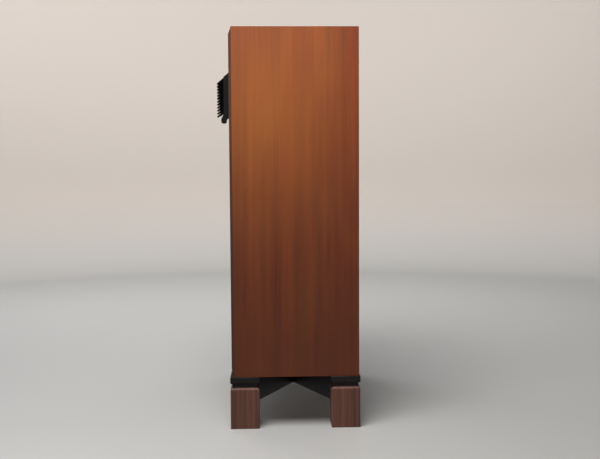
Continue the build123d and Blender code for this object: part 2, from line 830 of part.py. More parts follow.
def compression_driver_cover():
    """Hollow rear cover with a rounded rim."""
    front = horn_length + driver_body_length
    back = front + driver_cover_length
    edge = driver_cover_radius - cover_round
    level = back - cover_round
    diagonal = sin(radians(45))
    with BuildPart() as cover:
        with BuildSketch(section(horn_at)):
            with BuildLine():
                Line((0, back), (edge, back))
                ThreePointArc(
                    (edge, back), (edge + cover_round * diagonal, level + cover_round * diagonal),
                    (driver_cover_radius, level),
                )
                inner_round = cover_round - cover_wall
                Polyline(
                    (driver_cover_radius, level), (driver_cover_radius, front),
                    (driver_cover_radius - cover_wall, front), (edge + inner_round, level),
                )
                ThreePointArc(
                    (edge + inner_round, level), (edge + inner_round * diagonal, level + inner_round * diagonal),
                    (edge, back - cover_wall),
                )
                Polyline((edge, back - cover_wall), (0, back - cover_wall), (0, back))
            make_face()
        revolve(axis=driver_axis(horn_at))
    return cover


def compression_diaphragm():
    """Thin dome over the throat with a flat rim that rests on the cavity's floor."""
    seat = horn_length + driver_body_length - cavity_depth
    rise, sheet = diaphragm_rise, diaphragm_sheet
    dome = diaphragm_radius - diaphragm_rim
    shoulder = (dome * 0.6, seat + rise * 0.68)  # a point between the dome's crown and rim
    with BuildPart() as diaphragm:
        with BuildSketch(section(horn_at)):
            with BuildLine():
                outer = ThreePointArc((0, seat + rise), shoulder, (dome, seat + sheet))
                inner_shoulder = (shoulder[0], shoulder[1] - sheet)
                inner = ThreePointArc((0, seat + rise - sheet), inner_shoulder, (dome, seat))
                Line(outer @ 0, inner @ 0)
                Polyline(outer @ 1, (diaphragm_radius, seat + sheet), (diaphragm_radius, seat), inner @ 1)
            make_face()
        revolve(axis=driver_axis(horn_at))
    return diaphragm


# ---- Slot tweeter -------------------------------------------------------------------------------------


def slot_tweeter_body():
    """Round cast body whose front is a tall slot that narrows to the throat."""
    x, z = on_baffle(slot_tweeter_at)
    outline = [
        (0, -slot_flange), (slot_flange_radius, -slot_flange), (slot_flange_radius, 0), (slot_body_radius, 0),
        (slot_body_radius, slot_body_length), (0, slot_body_length),
    ]
    shell = turned(slot_tweeter_at, outline)
    with BuildPart() as body:
        add(shell.part)
        with BuildSketch(baffle_face.offset(slot_flange)):
            with Locations((x, z)):
                Rectangle(slot_mouth, slot_height)
        with BuildSketch(baffle_face.offset(slot_flange - slot_body_length * slot_narrowing)):
            with Locations((x, z)):
                Rectangle(slot_throat, slot_height * slot_shortening)
        loft(mode=Mode.SUBTRACT)
        with BuildSketch(baffle_face.offset(slot_flange)):
            with Locations((x, z)):
                with PolarLocations(slot_flange_radius - slot_screw_inset, 4, start_angle=45):
                    Circle(screw_radius + screw_clearance)
        extrude(amount=rearwards * slot_flange, mode=Mode.SUBTRACT)
    return body


def slot_tweeter_wedge():
    """Blade that splits the slot, thin at the throat and broad at the mouth."""
    x, z = on_baffle(slot_tweeter_at)
    y_wide = y_baffle - slot_flange + wedge_inset
    y_tip = y_baffle - slot_flange + slot_body_length * slot_narrowing
    left, right = (x - wedge_width / 2, y_wide), (x + wedge_width / 2, y_wide)
    with BuildPart() as wedge:
        with BuildSketch(Plane.XY.offset(z - slot_height * slot_shortening / 2)):
            with BuildLine():
                ThreePointArc(left, (x, y_wide - wedge_crown), right)
                Polyline(right, (x + wedge_tip / 2, y_tip), (x - wedge_tip / 2, y_tip), left)
            make_face()
        extrude(amount=slot_height * slot_shortening)
    return wedge


def slot_tweeter_magnet():
    front = slot_body_length
    return turned(slot_tweeter_at, ring_outline(0, slot_body_radius - 1, front, front + slot_magnet_length))


# ---- Front screws and level controls ------------------------------------------------------------------


def driver_screws():
    """Socket-head screws of everything on the baffle."""
    with BuildPart() as screws:
        for x, z, seat in screw_places():
            with BuildSketch(baffle_face.offset(-seat)):
                with Locations((x, z)):
                    Circle(screw_radius)
            extrude(amount=rearwards * screw_length)
            with BuildSketch(baffle_face.offset(-seat)):
                with Locations((x, z)):
                    Circle(screw_head_radius)
            extrude(amount=screw_head_height)
            with BuildSketch(baffle_face.offset(screw_head_height - seat)):
                with Locations((x, z)):
                    RegularPolygon(socket[0], 6)
            extrude(amount=rearwards * socket[1], mode=Mode.SUBTRACT)
    return screws


def knob_places():
    x, z = control_at
    return [(x + k * knob_spacing, z) for k in (-1, 0, 1)]


def control_panel():
    """Aluminium plate that carries the level controls."""
    spacing = [side - 2 * plate_screw_inset for side in control_plate[:2]]
    with BuildPart() as plate:
        with BuildSketch(baffle_face.offset(control_plate[2])):
            with Locations(on_baffle(control_at)):
                RectangleRounded(control_plate[0], control_plate[1], plate_corner)
                with GridLocations(knob_spacing, 0, 3, 1):
                    Circle(shaft_radius + shaft_slack, mode=Mode.SUBTRACT)
                with GridLocations(*spacing, 2, 2):
                    Circle(screw_radius + screw_clearance, mode=Mode.SUBTRACT)
        extrude(amount=rearwards * control_plate[2])
    return plate


def attenuators():
    """Wire-wound level controls behind the plate, each bored for its knob's shaft."""
    with BuildPart() as bodies:
        with BuildSketch(baffle_face):
            with Locations(*[on_baffle(at) for at in knob_places()]):
                Circle(attenuator_radius)
                Circle(shaft_radius + running, mode=Mode.SUBTRACT)
        extrude(amount=rearwards * attenuator_depth)
    return bodies


def level_knob(at):
    """Round knob with grip flutes, a pointer ridge and its shaft."""
    x, z = on_baffle(at)
    seat = baffle_face.offset(control_plate[2] + knob_gap)
    with BuildPart() as knob:
        with BuildSketch(seat):
            with Locations((x, z)):
                Circle(knob_radius)
        extrude(amount=knob_height)
        chamfer(knob.faces().sort_by(Axis.Y)[0].edges(), knob_ease)
        with BuildSketch(seat.offset(flute_start)):
            with Locations((x, z)):
                with PolarLocations(knob_radius + flute_radius / 2, knob_flutes):
                    Circle(flute_radius)
        extrude(amount=knob_height, mode=Mode.SUBTRACT)
        with BuildSketch(seat.offset(knob_height)):
            with Locations((x, z + knob_radius / 2)):
                Rectangle(pointer[0], knob_radius * 2 / 3)
        extrude(amount=pointer[1])
        with BuildSketch(seat):
            with Locations((x, z)):
                Circle(shaft_radius)
        extrude(amount=rearwards * (knob_gap + control_plate[2] + attenuator_depth * shaft_share))
    return knob


# ---- Terminals on the back ----------------------------------------------------------------------------


def terminal_cup():
    """Recessed tray in the back panel with two bosses for the studs."""
    with BuildPart() as cup:
        with BuildSketch(rear_face.offset(-cup_wall)):
            with Locations((0, z_terminal)):
                RectangleRounded(cup_size[0] + 2 * cup_rim, cup_size[1] + 2 * cup_rim, cup_corner)
        extrude(amount=cup_wall)
        with BuildSketch(rear_face):
            with Locations((0, z_terminal)):
                RectangleRounded(cup_size[0], cup_size[1], cup_corner)
        extrude(amount=cup_depth)
        with BuildSketch(rear_face.offset(-cup_wall)):
            with Locations((0, z_terminal)):
                RectangleRounded(*[side - 2 * cup_wall for side in cup_size], cup_corner - cup_wall)
        extrude(amount=cup_depth, mode=Mode.SUBTRACT)
        with BuildSketch(Plane.XZ.offset(-y_cup_floor)):
            with Locations((0, z_terminal)):
                with GridLocations(terminal_spacing, 0, 2, 1):
                    Circle(nut_radius)
        extrude(amount=rearwards * boss_height)
        with BuildSketch(Plane.XZ.offset(-(y_cup_floor + boss_height))):
            with Locations((0, z_terminal)):
                with GridLocations(terminal_spacing, 0, 2, 1):
                    Circle(stud_radius + pressed)
        extrude(amount=boss_height + 2 * cup_wall, mode=Mode.SUBTRACT)
    return cup


def terminal_studs():
    """Brass studs through the cup's floor, each with a 4 mm plug socket in its end."""
    y_start = y_cup_floor - cup_wall - stud_tail
    with BuildPart() as studs:
        with BuildSketch(Plane.XZ.offset(-y_start)):
            with Locations((0, z_terminal)):
                with GridLocations(terminal_spacing, 0, 2, 1):
                    Circle(stud_radius)
        extrude(amount=rearwards * (y_stud_end - y_start))
        with BuildSketch(Plane.XZ.offset(-y_stud_end)):
            with Locations((0, z_terminal)):
                with GridLocations(terminal_spacing, 0, 2, 1):
                    Circle(socket_radius)
        extrude(amount=socket_depth, mode=Mode.SUBTRACT)
    return studs


def terminal_washer(across):
    with BuildPart() as washer:
        with BuildSketch(Plane.XZ.offset(-y_washer)):
            with Locations((across * terminal_spacing / 2, z_terminal)):
                Circle(nut_radius - 1)
                Circle(stud_radius + running, mode=Mode.SUBTRACT)
        extrude(amount=rearwards * washer_thickness)
    return washer


def terminal_nut(across):
    """Fluted plastic nut that clamps a lead against the washer."""
    centre = (across * terminal_spacing / 2, z_terminal)
    with BuildPart() as nut:
        with BuildSketch(Plane.XZ.offset(-y_nut)):
            with Locations(centre):
                Circle(nut_radius)
                with PolarLocations(nut_radius + nut_flute / 3, nut_flutes):
                    Circle(nut_flute, mode=Mode.SUBTRACT)
                Circle(stud_radius + running, mode=Mode.SUBTRACT)
        extrude(amount=rearwards * nut_height)
    return nut


# ---- Crossover ----------------------------------------------------------------------------------------


def crossover_board():
    """Board on four feet, fixed to the bottom panel."""
    with BuildPart() as board:
        with BuildSketch(Plane.XY.offset(z_board)):
            with Locations((0, y_board)):
                Rectangle(board_size[0], board_size[1])
        extrude(amount=board_size[2])
        with BuildSketch(Plane.XY.offset(z_board)):
            with Locations((0, y_board)):
                with GridLocations(*[side - 2 * board_foot_inset for side in board_size[:2]], 2, 2):
                    Circle(board_foot)
        extrude(amount=-board_standoff)
    return board


def crossover_coils():
    """Air-cored inductors, one for each band."""
    with BuildPart() as windings:
        for x, outer, inner, tall in coils:
            with BuildSketch(Plane.XY.offset(z_parts)):
                with Locations((x, y_board - board_size[1] / 2 + coil_inset)):
                    Circle(outer)
                    Circle(inner, mode=Mode.SUBTRACT)
            extrude(amount=tall)
    return windings


def crossover_capacitors():
    """Film capacitors lying in a row along the back of the board."""
    radius, length, gap, count = capacitor
    with BuildPart() as capacitors:
        for k in range(count):
            x = (k - (count - 1) / 2) * (length + gap)
            with BuildSketch(Plane.YZ.offset(x - length / 2)):
                with Locations((y_board + board_size[1] / 2 - capacitor_inset, z_parts + radius)):
                    Circle(radius)
            extrude(amount=length)
    return capacitors


# ---- Stand --------------------------------------------------------------------------------------------


def leg(x, y):
    """One block leg, eased round its top."""
    with BuildPart() as block:
        with BuildSketch():
            with Locations((x, y)):
                Rectangle(leg_size, leg_size)
        extrude(amount=leg_height)
        chamfer(block.faces().sort_by(Axis.Z)[-1].edges(), leg_ease)
    return block


def leg_caps():
    """Square caps between legs and cabinet, each on a smaller neck that leaves a shadow gap."""
    z_cap = leg_height + groove_height
    with BuildPart() as caps:
        with BuildSketch(Plane.XY.offset(leg_height)):
            with Locations((0, y_middle)):
                with GridLocations(2 * leg_x, leg_y[1] - leg_y[0], 2, 2):
                    Rectangle(leg_size - 2 * groove_inset, leg_size - 2 * groove_inset)
        extrude(amount=groove_height)
        with BuildSketch(Plane.XY.offset(z_cap)):
            with Locations((0, y_middle)):
                with GridLocations(2 * leg_x, leg_y[1] - leg_y[0], 2, 2):
                    Rectangle(cap_size, cap_size)
        extrude(amount=cap_height)
        underside = caps.edges(Select.LAST).filter_by_position(Axis.Z, z_cap, z_cap)
        chamfer(underside.filter_by(lambda edge: edge.length > leg_size - groove_inset), cap_ease)
    return caps


def brace(side):
    """One board of the cross under the cabinet, fitted to the legs' corners and halved at the crossing."""
    span_x, span_y = 2 * leg_x, leg_y[1] - leg_y[0]
    turn = degrees(atan2(span_y, span_x))
    height = stand_height - brace_bottom
    with BuildPart() as board:
        with BuildSketch(Plane.XY.offset(brace_bottom)):
            with Locations(Location((0, y_middle), side * turn)):
                Rectangle(hypot(span_x, span_y), brace_thickness)
        extrude(amount=height)
        with BuildSketch():
            with Locations((0, y_middle)):
                with GridLocations(span_x, span_y, 2, 2):
                    Rectangle(cap_size + 2 * seam, cap_size + 2 * seam)
        extrude(amount=stand_height, mode=Mode.SUBTRACT)
        notch_start = brace_bottom if side > 0 else brace_bottom + height / 2 - seam
        with BuildSketch(Plane.XY.offset(notch_start)):
            with Locations(Location((0, y_middle), -side * turn)):
                Rectangle(cap_size * 2, brace_thickness + 2 * seam)
        extrude(amount=height / 2 + seam, mode=Mode.SUBTRACT)
    return board


# ---- Build and write every piece ----------------------------------------------------------------------

right_side = side_panel()
write(right_side, "side_panel_right")
with BuildPart() as left_side:
    mirror(right_side.part, about=Plane.YZ)
write(left_side, "side_panel_left")
write(end_panel(z_top, -1), "top_panel")
write(end_panel(z_bottom, 1), "bottom_panel")
write(back_panel(), "back_panel")
write(front_baffle(), "front_baffle")
write(panel_cleats(), "panel_cleats")
write(shelf_brace(), "shelf_brace")
write(damping_pads(), "damping_pads")
write(midrange_chamber(), "midrange_chamber")
write(port_tubes(), "port_tubes")

for driver in (woofer, midrange):
    write(basket(driver), f"{driver.name}_basket")
    write(cone(driver), f"{driver.name}_cone")
    write(dust_cap(driver), f"{driver.name}_dust_cap")
    write(voice_coil(driver), f"{driver.name}_voice_coil")
    write(surround(driver), f"{driver.name}_surround")
    write(spider(driver), f"{driver.name}_spider")
    write(gasket(driver), f"{driver.name}_gasket")

write(top_plate(woofer), "woofer_top_plate")
write(magnet_ring(woofer), "woofer_magnet")
write(yoke(woofer), "woofer_yoke")
write(midrange_motor(), "midrange_motor")

write(horn(), "horn")
write(lens_plates(), "lens_plates")
write(lens_brackets(), "lens_brackets")
write(compression_driver_body(), "compression_driver_body")
write(compression_driver_cover(), "compression_driver_cover")
write(compression_diaphragm(), "compression_diaphragm")
write(slot_tweeter_body(), "slot_tweeter_body")
write(slot_tweeter_wedge(), "slot_tweeter_wedge")
write(slot_tweeter_magnet(), "slot_tweeter_magnet")
write(driver_screws(), "driver_screws")

write(control_panel(), "control_plate")
write(attenuators(), "attenuators")
for at, band in zip(knob_places(), ("midrange", "horn", "tweeter")):
    write(level_knob(at), f"{band}_level_knob")

write(terminal_cup(), "terminal_cup")
write(terminal_studs(), "terminal_studs")
for across, colour in ((-1, "red"), (1, "black")):
    write(terminal_washer(across), f"{colour}_terminal_washer")
    write(terminal_nut(across), f"{colour}_terminal_nut")

write(crossover_board(), "crossover_board")
write(crossover_coils(), "crossover_coils")
write(crossover_capacitors(), "crossover_capacitors")

for y, end in zip(leg_y, ("front", "rear")):
    for x, side in ((-leg_x, "left"), (leg_x, "right")):
        write(leg(x, y), f"leg_{end}_{side}")
write(leg_caps(), "leg_caps")
write(brace(1), "stand_brace_a")
write(brace(-1), "stand_brace_b")
print(len(written), "nodes")
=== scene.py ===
"""Finishes, fine pieces and studio for a four-way studio monitor loudspeaker on its block-leg stand."""

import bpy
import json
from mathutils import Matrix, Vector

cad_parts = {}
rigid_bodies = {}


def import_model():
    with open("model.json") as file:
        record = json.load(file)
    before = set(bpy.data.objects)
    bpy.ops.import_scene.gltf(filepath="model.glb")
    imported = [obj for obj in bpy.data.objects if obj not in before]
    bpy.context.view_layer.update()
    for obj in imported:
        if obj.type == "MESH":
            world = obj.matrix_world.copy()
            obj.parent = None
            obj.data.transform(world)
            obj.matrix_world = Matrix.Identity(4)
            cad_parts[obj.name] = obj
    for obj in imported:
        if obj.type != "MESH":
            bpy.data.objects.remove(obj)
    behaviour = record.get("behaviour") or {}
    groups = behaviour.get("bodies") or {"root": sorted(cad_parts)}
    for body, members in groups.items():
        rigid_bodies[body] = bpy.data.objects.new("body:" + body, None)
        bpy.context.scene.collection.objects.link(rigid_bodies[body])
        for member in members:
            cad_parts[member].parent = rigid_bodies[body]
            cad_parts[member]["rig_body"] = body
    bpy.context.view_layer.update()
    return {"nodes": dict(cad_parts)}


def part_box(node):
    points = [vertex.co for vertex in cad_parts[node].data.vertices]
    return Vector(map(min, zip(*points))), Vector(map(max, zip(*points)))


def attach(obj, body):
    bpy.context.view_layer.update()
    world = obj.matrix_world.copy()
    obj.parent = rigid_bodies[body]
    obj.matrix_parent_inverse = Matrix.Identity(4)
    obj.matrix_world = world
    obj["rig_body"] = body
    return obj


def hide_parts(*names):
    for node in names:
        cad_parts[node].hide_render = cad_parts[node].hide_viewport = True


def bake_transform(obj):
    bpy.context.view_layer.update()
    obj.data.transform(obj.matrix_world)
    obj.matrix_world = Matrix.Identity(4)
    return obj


bl_info = {
    "name": "Studio monitor loudspeaker",
    "version": (1, 0, 0),
    "blender": (4, 5, 0),
    "location": "3D View > Sidebar > Monitor",
    "description": "Finishes and fine pieces for a four-way studio monitor on its stand",
    "category": "Object",
}

import json
import math

import bmesh
import bpy
from bpy.props import FloatProperty, FloatVectorProperty, IntProperty, PointerProperty
from mathutils import Matrix, Vector, noise

for leftover in list(bpy.data.objects):
    bpy.data.objects.remove(leftover)

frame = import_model()

MM = 0.001
WELD = 0.001 * MM
SHARP = math.radians(32.0)
SHEET_ROUND = 0.3 * MM
BLACK_PLASTIC = ("#0D0D0E", "#19191B")


def linear(colour):
    """An sRGB hex colour as linear red, green, blue and full alpha."""
    parts = [int(colour[k:k + 2], 16) / 255 for k in (1, 3, 5)]
    return (*(p / 12.92 if p <= 0.04045 else ((p + 0.055) / 1.055) ** 2.4 for p in parts), 1.0)


def shade(colour, factor):
    """A linear colour made darker or lighter by a factor."""
    return tuple(min(1.0, factor * c) for c in colour[:3]) + (1.0,)


# ---- Settings -----------------------------------------------------------------------------------------


def colour_setting(name, description, default):
    return FloatVectorProperty(
        name=name, description=description, default=linear(default), size=4, min=0.0, max=1.0,
        subtype="COLOR"
    )


def length_setting(name, description, default, low=0.0):
    return FloatProperty(name=name, description=description, default=default, min=low, unit="LENGTH")


def power_setting(name, description, default):
    return FloatProperty(name=name, description=description, default=default, min=0.0, unit="POWER")


class MonitorFinish(bpy.types.PropertyGroup):
    """Colours of the finishes that an owner would choose."""

    veneer_light: colour_setting("Veneer, light", "Light streaks of the oiled veneer", "#96400F")
    veneer_dark: colour_setting("Veneer, dark", "Dark streaks of the oiled veneer", "#602508")
    # painted shade: the colour that the veneer's faces looking forward are darkened to
    veneer_edge: colour_setting("Front edge", "Stained solid edge round the front", "#3D1D0F")
    leg_light: colour_setting("Legs, light", "Light streaks of the leg blocks", "#7E4F40")
    leg_dark: colour_setting("Legs, dark", "Dark streaks of the leg blocks", "#43281F")
    stand_black: colour_setting("Stand black", "Black stain of the caps and braces", "#120E0C")
    baffle_black: colour_setting("Baffle black", "Satin lacquer of the baffle", "#121314")


class MonitorSizes(bpy.types.PropertyGroup):
    """Sizes of the fine details."""

    edge_round: length_setting("Edge rounding", "Radius that sanding leaves on wooden edges", 0.7 * MM)
    metal_round: length_setting("Metal rounding", "Radius on the edges of castings and plates", 0.4 * MM)
    veneer_fibre: length_setting(
        "Veneer fibre", "Width of one streak, drawn coarser than real so that it shows", 3.0 * MM, 0.2 * MM
    )
    scale_marks: IntProperty(
        name="Scale marks", description="Marks round each level knob", default=11, min=2, max=41
    )
    back_screws: IntProperty(
        name="Back screws", description="Screws round the back panel", default=22, min=4, max=60
    )
    ring_segments: IntProperty(
        name="Ring segments", description="Segments of turned rings", default=144, min=24, max=360
    )


class MonitorStudio(bpy.types.PropertyGroup):
    """Light and camera."""

    key_power: power_setting("Key light", "Soft light high on the right", 88.0)
    side_power: power_setting("Side light", "Soft light by the camera", 3.0)
    front_power: power_setting("Front light", "Soft light on the drivers", 24.0)
    wall_power: power_setting("Wall light", "Soft light on the wall behind", 150.0)
    sky_strength: FloatProperty(
        name="Room light", description="Even light from all round", default=0.2, min=0.0
    )
    focal_length: FloatProperty(
        name="Focal length", description="Lens of the camera", default=45.7, min=10.0,
        subtype="DISTANCE_CAMERA"
    )
    floor_radius: length_setting("Floor radius", "Radius of the pale floor", 4.4, 3.5)


# ---- Building helpers ---------------------------------------------------------------------------------


def add_node(tree, kind, inputs=None, **settings):
    """Adds a node with its settings and inputs: values, sockets, or nodes for their first output.

    A shader kind is given without its prefix.
    """
    made = tree.nodes.new(kind if "Node" in kind else "ShaderNode" + kind)
    for name, value in settings.items():
        setattr(made, name, value)
    for socket, value in (inputs or {}).items():
        if isinstance(value, bpy.types.Node):
            value = value.outputs[0]
        if isinstance(value, bpy.types.NodeSocket):
            tree.links.new(value, made.inputs[socket])
        else:
            made.inputs[socket].default_value = value
    return made


def material(recipe, *details):
    """The material that a recipe makes, made once. A recipe returns the main shader's inputs."""
    name = "_".join([recipe.__name__, *map(str, details)])
    if name in bpy.data.materials:
        return bpy.data.materials[name]
    made = bpy.data.materials.new(name)
    made.use_nodes = True
    tree = made.node_tree
    tree.nodes.clear()
    shader = add_node(tree, "BsdfPrincipled", recipe(tree, *details))
    add_node(tree, "OutputMaterial", {"Surface": shader})
    return made


def merged(node):
    """A CAD node's triangles as one welded mesh with flat regions joined."""
    body = bmesh.new()
    body.from_mesh(frame["nodes"][node].data)
    bmesh.ops.remove_doubles(body, verts=body.verts, dist=WELD)
    bmesh.ops.dissolve_limit(body, angle_limit=math.radians(0.4), verts=body.verts, edges=body.edges)
    return body


def to_mesh(name, body):
    """Turns a bmesh into a mesh and frees it."""
    mesh = bpy.data.meshes.new(name)
    body.to_mesh(mesh)
    body.free()
    return mesh


def place(name, mesh, finish, smooth_angle=38.0):
    """An object of this mesh in the scene, shaded smooth except at sharp edges."""
    piece = bpy.data.objects.new(name, mesh)
    bpy.context.scene.collection.objects.link(piece)
    mesh.polygons.foreach_set("use_smooth", [True] * len(mesh.polygons))
    mesh.set_sharp_from_angle(angle=math.radians(smooth_angle))
    if finish is not None:
        mesh.materials.clear()
        mesh.materials.append(finish)
    return piece


def settle(piece):
    """Turns a piece's modifiers into plain mesh."""
    bpy.context.view_layer.update()
    view = bpy.context.evaluated_depsgraph_get()
    result = bpy.data.meshes.new_from_object(piece.evaluated_get(view), depsgraph=view)
    piece.modifiers.clear()
    piece.data = result
    return piece


def round_edges(piece, radius):
    """Rounds the sharp edges of a piece."""
    bevel = piece.modifiers.new("Rounding", "BEVEL")
    bevel.width = radius
    bevel.segments = 2
    bevel.limit_method = "ANGLE"
    bevel.angle_limit = SHARP
    return settle(piece)


def belongs(piece, node):
    """The piece stands for this CAD node and rides on its body."""
    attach(piece, frame["nodes"][node]["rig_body"])
    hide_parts(node)
    return piece


def finished_copy(node, radius, recipe, *details):
    """The CAD node's own shape with rounded edges and a finish."""
    piece = place(f"{node}_finished", to_mesh(node, merged(node)), material(recipe, *details))
    if radius > 0:
        round_edges(piece, radius)
    return belongs(piece, node)


def paint(node, finish):
    """Gives a CAD node that keeps its own mesh its finish."""
    target = frame["nodes"][node].data
    target.materials.clear()
    target.materials.append(finish)


def islands(body):
    """The separate shells of a bmesh, each as a list of vertices."""
    left = set(body.verts)
    found = []
    for start in body.verts:
        if start not in left:
            continue
        left.remove(start)
        shell, queue = [start], [start]
        while queue:
            for edge in queue.pop().link_edges:
                for vertex in edge.verts:
                    if vertex in left:
                        left.remove(vertex)
                        shell.append(vertex)
                        queue.append(vertex)
        found.append(shell)
    return found


def extent(points):
    """Lowest and highest corner of some points."""
    low = Vector([min(p[k] for p in points) for k in range(3)])
    high = Vector([max(p[k] for p in points) for k in range(3)])
    return low, high


def middle_of(node):
    """Centre of a CAD node's box."""
    low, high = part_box(node)
    return (low + high) / 2


def lathe(name, outline, centre, segments):
    """A closed ring turned about the front-to-back axis, from an outline of (radius, y) points."""
    body = bmesh.new()
    rings = []
    for k in range(segments):
        turn = 2 * math.pi * k / segments
        aside, up = math.cos(turn), math.sin(turn)
        rings.append([body.verts.new((centre[0] + r * aside, y, centre[2] + r * up)) for r, y in outline])
    for k, ring in enumerate(rings):
        after = rings[(k + 1) % segments]
        for j in range(len(outline)):
            n = (j + 1) % len(outline)
            body.faces.new((ring[j], after[j], after[n], ring[n]))
    bmesh.ops.remove_doubles(body, verts=body.verts, dist=WELD)
    bmesh.ops.recalc_face_normals(body, faces=body.faces)
    return to_mesh(name, body)


def radii(node):
    """Centre, smallest and largest radius of a CAD node that is turned about the front-to-back axis."""
    centre = middle_of(node)
    spans = [math.hypot(v.co.x - centre.x, v.co.z - centre.z) for v in frame["nodes"][node].data.vertices]
    return centre, min(spans), max(spans)


def geometry_tree(name, **sockets):
    """A Geometry Nodes tree with named inputs, and the node that holds them."""
    tree = bpy.data.node_groups.new(name, "GeometryNodeTree")
    tree.interface.new_socket(name="Geometry", in_out="INPUT", socket_type="NodeSocketGeometry")
    for label, kind in sockets.items():
        tree.interface.new_socket(name=label, in_out="INPUT", socket_type=f"NodeSocket{kind}")
    tree.interface.new_socket(name="Geometry", in_out="OUTPUT", socket_type="NodeSocketGeometry")
    return tree, add_node(tree, "NodeGroupInput")


def end_tree(tree, geometry, finish):
    """Makes instances real, sets their material and ends the tree."""
    real = add_node(tree, "GeometryNodeRealizeInstances", {0: geometry})
    dressed = add_node(tree, "GeometryNodeSetMaterial", {"Geometry": real, "Material": finish})
    add_node(tree, "NodeGroupOutput", {0: dressed})


def grow(name, mesh, tree, **values):
    """A piece whose mesh is what a tree makes of the given mesh."""
    piece = place(name, mesh, None)
    modifier = piece.modifiers.new(tree.name, "NODES")
    modifier.node_group = tree
    for item in tree.interface.items_tree:
        if item.in_out == "INPUT" and item.name in values:
            modifier[item.identifier] = values[item.name]
    return settle(piece)


# ---- Finishes -----------------------------------------------------------------------------------------


def wood_grain(tree, axis, light, dark, fibre, contrast=0.28):
    """Sawn wood, long in the grain's axis (0 is X, 2 is Z): its colour, fibres, pores and coordinates.

    Real fibres are a few tenths of a millimetre wide. They are drawn millimetres wide so that they show.
    """
    where = add_node(tree, "TexCoord").outputs["Object"]
    spaces = []
    for across, along in ((7 * fibre, 500 * fibre), (fibre, 130 * fibre), (0.7 * fibre, 60 * fibre)):
        scale = [1 / across] * 3
        scale[axis] = 1 / along
        spaces.append(add_node(tree, "Mapping", {"Vector": where, "Scale": scale}))
    bands = add_node(
        tree, "TexNoise", {"Vector": spaces[0], "Scale": 1.0, "Detail": 3.0, "Distortion": 0.35}
    )
    fibres = add_node(
        tree, "TexNoise",
        {"Vector": spaces[1], "Scale": 1.0, "Detail": 5.0, "Roughness": 0.7, "Distortion": 0.15}
    )
    pores = add_node(tree, "TexNoise", {"Vector": spaces[2], "Scale": 1.0, "Detail": 2.0})
    both = add_node(tree, "Math", {0: bands, 1: fibres}, operation="ADD")
    share = add_node(tree, "MapRange", {"Value": both, "From Min": 1 - contrast, "From Max": 1 + contrast})
    streaks = add_node(tree, "Mix", {0: share, 6: dark, 7: light}, data_type="RGBA").outputs[2]
    pits = add_node(tree, "MapRange", {"Value": pores, "From Min": 0.58, "From Max": 0.72, "To Max": 0.45})
    pitted = add_node(tree, "Mix", {0: pits, 6: streaks, 7: shade(dark, 0.35)}, data_type="RGBA").outputs[2]
    return pitted, fibres, pits, where


def oiled_veneer(tree, axis):
    """Oiled teak veneer, knife-cut and hand-rubbed: warm streaks, soft satin sheen, open pores, with
    painted light and painted shade.
    """
    finish = bpy.context.scene.monitor_finish
    fibre = bpy.context.scene.monitor_sizes.veneer_fibre
    light, dark = finish.veneer_light, finish.veneer_dark
    colour, fibres, pits, where = wood_grain(tree, axis, light, dark, fibre, contrast=0.38)
    # golden patches a hand wide, drawn out along the grain
    stretch = [6.0, 6.0, 6.0]
    stretch[axis] = 1.6
    wide = add_node(tree, "Mapping", {"Vector": where, "Scale": stretch})
    patches = add_node(tree, "TexNoise", {"Vector": wide, "Scale": 1.0, "Detail": 2.0, "Distortion": 0.6})
    # a paler golden patch high at the front: a painted pool of light where the light falls strongest
    pool_y, pool_z, pool_reach_y, pool_reach_z = -0.08, 1.08, 0.26, 0.36
    light_pool_space = add_node(
        tree, "Mapping",
        {
            "Vector": where, "Location": (0.0, -pool_y / pool_reach_y, -pool_z / pool_reach_z),
            "Scale": (0.0, 1 / pool_reach_y, 1 / pool_reach_z)
        }
    )
    away = add_node(tree, "VectorMath", {0: light_pool_space}, operation="LENGTH").outputs["Value"]
    painted_light_pool = add_node(
        tree, "MapRange", {"Value": away, "From Min": 0.1, "From Max": 1.5, "To Min": 0.42, "To Max": 0.0}
    )
    golden = add_node(
        tree, "MapRange", {"Value": patches, "From Min": 0.38, "From Max": 0.68, "To Max": 0.18}
    )
    # the random golden figure plus the painted pool of light
    both = add_node(tree, "Math", {0: golden, 1: painted_light_pool}, operation="ADD")
    warm = add_node(tree, "Mix", {0: both, 6: colour, 7: linear("#BC7024")}, data_type="RGBA").outputs[2]
    # painted shade: the colour darkens towards the floor, as the light falls off from above
    rise = add_node(tree, "SeparateXYZ", {0: where}).outputs[2]
    depth = add_node(tree, "MapRange", {"Value": rise, "From Min": 1.2, "From Max": 0.3, "To Max": 0.62})
    floor_shaded = add_node(tree, "Mix", {0: depth, 6: warm, 7: shade(dark, 0.4)}, data_type="RGBA").outputs[2]
    # the solid edge round the front is the face that looks forward: darkened with painted shade, as less
    # light falls on it there; sanded and left dull
    facing = add_node(tree, "TexCoord").outputs["Normal"]
    parts = add_node(tree, "SeparateXYZ", {0: facing})
    forward = add_node(
        tree, "MapRange", {"Value": parts.outputs[1], "From Min": -0.5, "From Max": -0.95, "To Max": 0.85}
    )
    edge_shaded = add_node(tree, "Mix", {0: forward, 6: floor_shaded, 7: finish.veneer_edge}, data_type="RGBA").outputs[2]
    sheen = add_node(
        tree, "MapRange", {"Value": fibres, "From Min": 0.3, "From Max": 0.7, "To Min": 0.5, "To Max": 0.62}
    )
    dull = add_node(
        tree, "MapRange", {"Value": parts.outputs[1], "From Min": -0.5, "From Max": -0.7, "To Max": 0.35}
    )
    sheen = add_node(tree, "Math", {0: sheen, 1: dull}, operation="ADD")
    height = add_node(tree, "Math", {0: fibres, 1: pits}, operation="SUBTRACT")
    relief = add_node(tree, "Bump", {"Strength": 0.35, "Distance": 0.12 * MM, "Height": height})
    return {"Base Color": edge_shaded, "Roughness": sheen, "Normal": relief}


